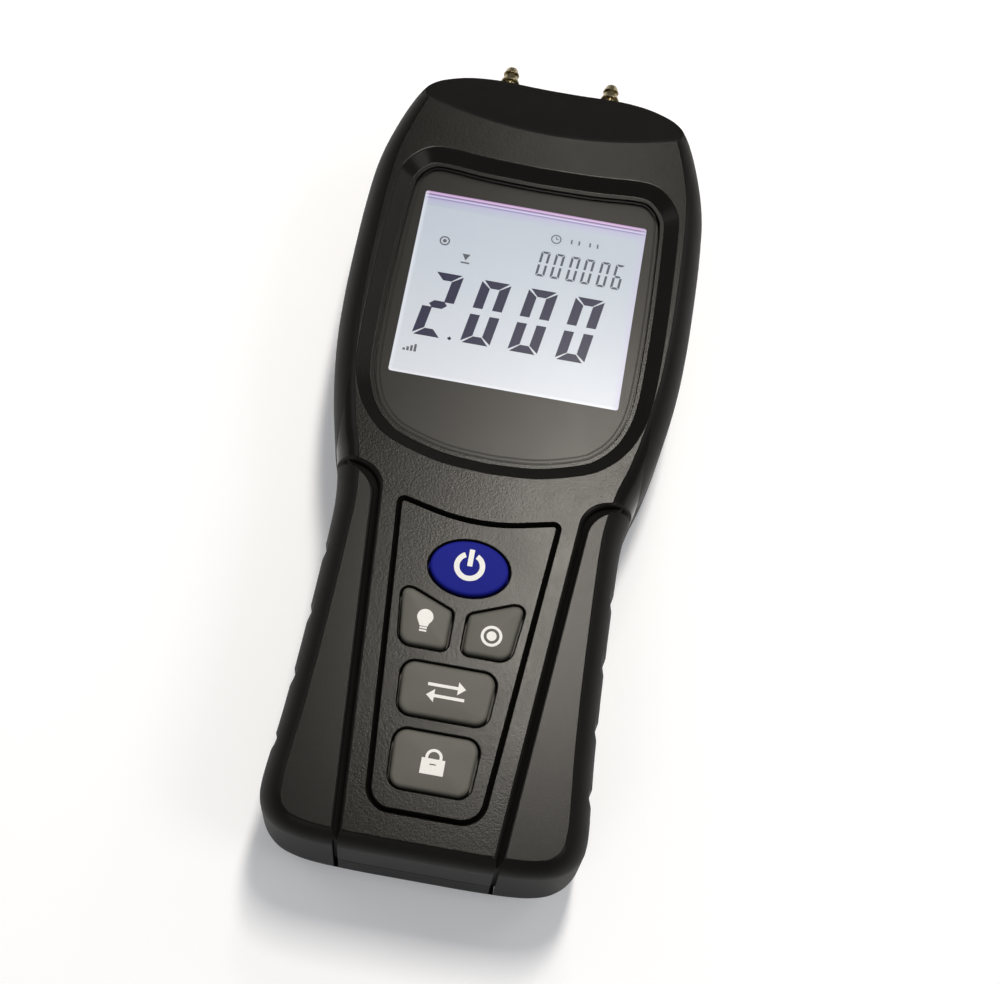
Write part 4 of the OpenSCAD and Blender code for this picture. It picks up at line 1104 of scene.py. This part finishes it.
charcoal = (0.0065, 0.0060, 0.0052)
housing_plastic = moulded_plastic("charcoal moulded plastic", charcoal, 0.225)
# The slope's colour, darker than the charcoal, is painted shade; its low gloss and higher roughness are its
# own finish
slope_finish_and_painted_shade = moulded_plastic("charcoal moulded plastic, slope, painted shade", tinted(charcoal, 0.7), 0.4, gloss=0.04)
rear_plastic = moulded_plastic("charcoal moulded plastic, back", tinted(charcoal, 0.9), 0.3)
grip_rubber = soft_rubber("charcoal soft grip", tinted(charcoal, 0.9))
mask_film = moulded_plastic("printed lens film", (0.012, 0.011, 0.009), 0.4, 0.2, 0.01)
grey_key = key_plastic("grey key plastic", (0.085, 0.083, 0.072), 0.45)
blue_key = key_plastic("blue key plastic", (0.008, 0.012, 0.225), 0.62, 0.12)
white_ink = printed_ink("white ink", (0.82, 0.82, 0.8))
display_ink = printed_ink("display segments", (0.006, 0.009, 0.085))
pale_ink = printed_ink("small display segments", (0.11, 0.13, 0.21))
faint_ink = printed_ink("small display signs", (0.17, 0.18, 0.24))
brass = turned_metal("turned brass", (0.30, 0.25, 0.14), 0.12)
steel = turned_metal("zinc plated steel", (0.6, 0.6, 0.58), 0.3, axis="Z")
lens_material = clear_lens("clear lens")
display_light = lit_display("lit display")


# The pieces
front = make_front_housing()
dress(front, housing_plastic)
dress_slope(front, slope_finish_and_painted_shade)
rear = make_rear_housing()
dress(rear, rear_plastic)
door = make_battery_door()
dress(door, rear_plastic)
for side, name in ((-1, "left_panel"), (1, "right_panel")):
    dress(make_grip(side, name), grip_rubber)

keys = {node: make_key(node) for node in key_outlines}
for node, piece in keys.items():
    blue = node == "power_key"
    dress(piece, blue_key if blue else grey_key)
small_offset = (small_gap + small_width) / 2
signs = {"power_key": power_sign(), "lamp_key": lamp_sign(0.2 - small_offset, small_middle - 0.8),
         "record_key": dotted_ring(small_offset - 0.2, small_middle - 1.4, 1.5, 2.05, 0.95, 40, 24),
         "units_key": units_sign(), "hold_key": hold_sign()}
for node, shapes in signs.items():
    dress(printed(node + "_sign", shapes, keys[node], node), white_ink)

for name, shapes, ink in (("display_digits", digits(*large_row) + decimal_point(), display_ink),
                          ("display_small_digits", digits(*small_row), pale_ink),
                          ("display_marks", small_signs(), faint_ink)):
    dress(display_print(name, shapes), ink)


def make_lens():
    """The clear plate, with a fine line cut round its edge."""
    top = lens_high[2]
    edge, line = ([(by, top + up) for by, up in rows] for rows in (lens_edge_rows, lens_line_rows))
    piece = moulded_cut("lens", lens_outline, [(0, lens_low[2])] + edge)
    cut_with(piece, [moulded_cut("lens line", lens_outline, line, closed=True)])
    return fitted(piece, "housing", "display_lens")


def make_mask():
    """The dark print behind the lens, with the display's window."""
    piece = prism("lens_print", lens_outline, mask_low[2], mask_high[2] - 0.01)
    window = round_box((0, window_middle), window_width, window_height, window_corner)
    cut_with(piece, [prism("window", window, mask_low[2] - overrun, mask_high[2] + overrun)])
    return fitted(piece, "housing", "display_mask")


dress(make_lens(), lens_material)
dress(make_mask(), mask_film)
dress_node("display_glass", display_light)


# A spigot's outline: distance from its tip and radius, with two barbs that narrow towards the tip
stem_radius, spigot_bore, shoulder_radius, shoulder_chamfer = 1.5, 0.7, 3.0, 0.15
barb_rows = [(3.9, 1.5), (3.75, 2.0), (3.55, 2.08), (1.9, 1.4), (1.75, 1.4), (1.65, 1.72), (1.5, 1.78),
             (0.3, 1.3), (0.08, 1.18), (0, 1.02)]


def make_spigot(side, name):
    """A turned hose nipple: stem, shoulder in the end wall, and barbs."""
    node = name.replace("nipple", "spigot")
    low, high = node_box(node)
    rows = [(low[1], spigot_bore), (low[1], stem_radius), (nut_seat, stem_radius),
            (nut_seat, shoulder_radius), (top_end - shoulder_chamfer, shoulder_radius),
            (top_end, shoulder_radius - shoulder_chamfer), (top_end, stem_radius)]
    rows += [(high[1] - back, r) for back, r in barb_rows] + [(high[1], spigot_bore)]
    piece = turned(name, (side * spigot_pitch / 2, 0, spigot_height), (0, 1, 0), rows, 64, closed=True)
    return fitted(piece, "housing", node, 25)


for side, name in ((-1, "left_nipple"), (1, "right_nipple")):
    dress(make_spigot(side, name), brass)


# A screw's outline: height over the top of its head and radius
screw_head_rows = [(0, 1.5), (0.12, 1.95), (0.45, 2.2), (1.6, 2.2), (1.6, 1.2)]
screw_radius, screw_point, point_radius = 1.2, 1.5, 0.4
cross_half, cross_half_width, cross_depth = 1.1, 0.25, 0.9


def make_screws():
    """Pan head screws with a cross recess, at the bottom of the wells in the back."""
    low, high = (end[2] for end in node_box("housing_screws"))
    rows = [(low + up, r) for up, r in screw_head_rows]
    rows += [(high - screw_point, screw_radius), (high, point_radius)]
    pieces = [turned("screw", (x, y, 0), UP, rows, 40) for x, y in screw_places]
    piece = join_with(pieces[0], pieces[1:])
    cut_with(piece, [block("slot", (x - a, y - b, low - overrun), (x + a, y + b, low + cross_depth))
                     for x, y in screw_places
                     for a, b in ((cross_half, cross_half_width), (cross_half_width, cross_half))])
    piece.name = "case_screws"
    return fitted(piece, "housing", "housing_screws", 25)


dress(make_screws(), steel)

# Inner pieces keep their solids: nodes of plastic, of rubber and of metal
for name, finish_name, colour, roughness in (
        ("display_holder", "white moulded plastic", (0.75, 0.75, 0.72), 0.45),
        ("backlight_panel", "light guide", (0.8, 0.82, 0.86), 0.2),
        ("circuit_board", "solder mask", (0.02, 0.14, 0.06), 0.3),
        ("processor_chip", "chip moulding", (0.02, 0.02, 0.022), 0.5),
        ("buzzer", "buzzer moulding", (0.018, 0.018, 0.018), 0.45),
        ("pressure_sensor", "sensor moulding", (0.62, 0.6, 0.54), 0.5),
        ("battery_snap", "snap moulding", (0.018, 0.018, 0.018), 0.4),
        ("battery", "printed battery can", (0.06, 0.065, 0.075), 0.32),
        ("red_lead", "red insulation", (0.42, 0.02, 0.02), 0.4),
        ("black_lead", "black insulation", (0.015, 0.015, 0.015), 0.4)):
    dress_node(name, key_plastic(finish_name, colour, roughness))
for names, finish_name, colour in (
        (["contact_strips"], "layered silicone", (0.5, 0.22, 0.26)),
        (["key_mat"], "translucent silicone", (0.42, 0.42, 0.4)),
        (["key_pills"], "carbon silicone", (0.02, 0.02, 0.02)),
        (["battery_pad"], "foam pad", (0.03, 0.03, 0.03)),
        (["left_tube", "right_tube"], "clear silicone tube", (0.62, 0.64, 0.62))):
    rubber = soft_rubber(finish_name, colour)
    for name in names:
        dress_node(name, rubber)
dress_node("board_screws", steel)
dress_node("spigot_nuts", brass)


# Camera: fitted to the display window, the outline and the keys in the photograph
camera_tilt, camera_yaw, camera_roll = radians(23), radians(0.545), radians(10.367)
camera_aim = np.array([3.154, -18.514, 30.0])
camera_distance, focal_pixels, picture_width = 380.254, 1947.137, 1000
sensor_width = 36.0


def make_camera():
    back = np.array([sin(camera_yaw) * cos(camera_tilt), -sin(camera_tilt),
                     cos(camera_tilt) * cos(camera_yaw)])
    back /= np.linalg.norm(back)
    level = np.cross([0, 1, 0], back)
    level /= np.linalg.norm(level)
    rise = np.cross(back, level)
    place = np.identity(4)
    place[:3, 0] = level * cos(camera_roll) + rise * sin(camera_roll)
    place[:3, 1] = rise * cos(camera_roll) - level * sin(camera_roll)
    place[:3, 2] = back
    place[:3, 3] = (camera_aim + back * camera_distance) * mm
    data = bpy.data.cameras.new("camera")
    data.sensor_width = sensor_width
    data.lens = focal_pixels / picture_width * sensor_width
    data.clip_start = 0.01
    camera = bpy.data.objects.new("camera", data)
    bpy.context.scene.collection.objects.link(camera)
    camera.matrix_world = Matrix(place.tolist())
    bpy.context.scene.camera = camera


def make_light(name, place, aim, size, energy, colour=(1, 1, 1)):
    data = bpy.data.lights.new(name, "AREA")
    data.shape = "RECTANGLE"
    data.size, data.size_y = size
    data.energy = energy
    data.color = colour
    lamp = bpy.data.objects.new(name, data)
    lamp.location = place
    lamp.rotation_euler = (Vector(aim) - Vector(place)).to_track_quat("-Z", "Y").to_euler()
    bpy.context.scene.collection.objects.link(lamp)


def make_world(level):
    world = bpy.data.worlds.new("studio")
    bpy.context.scene.world = world
    world.use_nodes = True
    background = world.node_tree.nodes["Background"]
    background.inputs["Color"].default_value = (1, 1, 1, 1)
    background.inputs["Strength"].default_value = level


def make_floor():
    """A pale floor that shows a plain pale light to the camera and in reflections."""
    half = 900
    floor = new_piece("floor", [(-half, -half, 0), (half, -half, 0), (half, half, 0), (-half, half, 0)],
                      [(0, 1, 2, 3)])
    finish = Finish("pale floor", Roughness=0.9, Emission_Strength=1.0)
    finish.feed("Base Color", finish.shades(finish.noise(40, 2.0), (0.905, 0.92, 0.96), (0.925, 0.94, 0.98)))
    camera, gloss, through = (finish.add("ShaderNodeLightPath", out=f"Is {ray} Ray")
                              for ray in ("Camera", "Glossy", "Transmission"))
    level = (camera + gloss + through > 0.5) * 0.17
    finish.feed("Emission Color", finish.shades(level, (0, 0, 0), (1, 1, 1)))
    floor.data.materials.append(finish.material)


make_camera()

# Places and sizes of the lights are in metres
side_distance, side_size = 1.1, 0.35
warm = (1, 0.94, 0.85)
make_light("key light", (0.045, 0.23, 0.71), (0.01, -0.03, 0.03), (0.07, 0.22), 3.35, warm)
make_light("top light", (0.01, 0.5, 0.62), (0, 0.06, 0.03), (0.08, 0.16), 0.5, warm)
for turn, rise, energy in ((345, 50, 1.3), (35, 35, 0.8), (160, 40, 0.6), (250, 40, 0.75)):
    turn, rise = radians(turn), radians(rise)
    spot = side_distance * np.array([cos(rise) * cos(turn), cos(rise) * sin(turn), sin(rise)])
    make_light("side light", spot, (0, 0, 0), (side_size, side_size), energy)

make_world(0.22)
make_floor()
bpy.context.scene.view_settings.view_transform = "Standard"
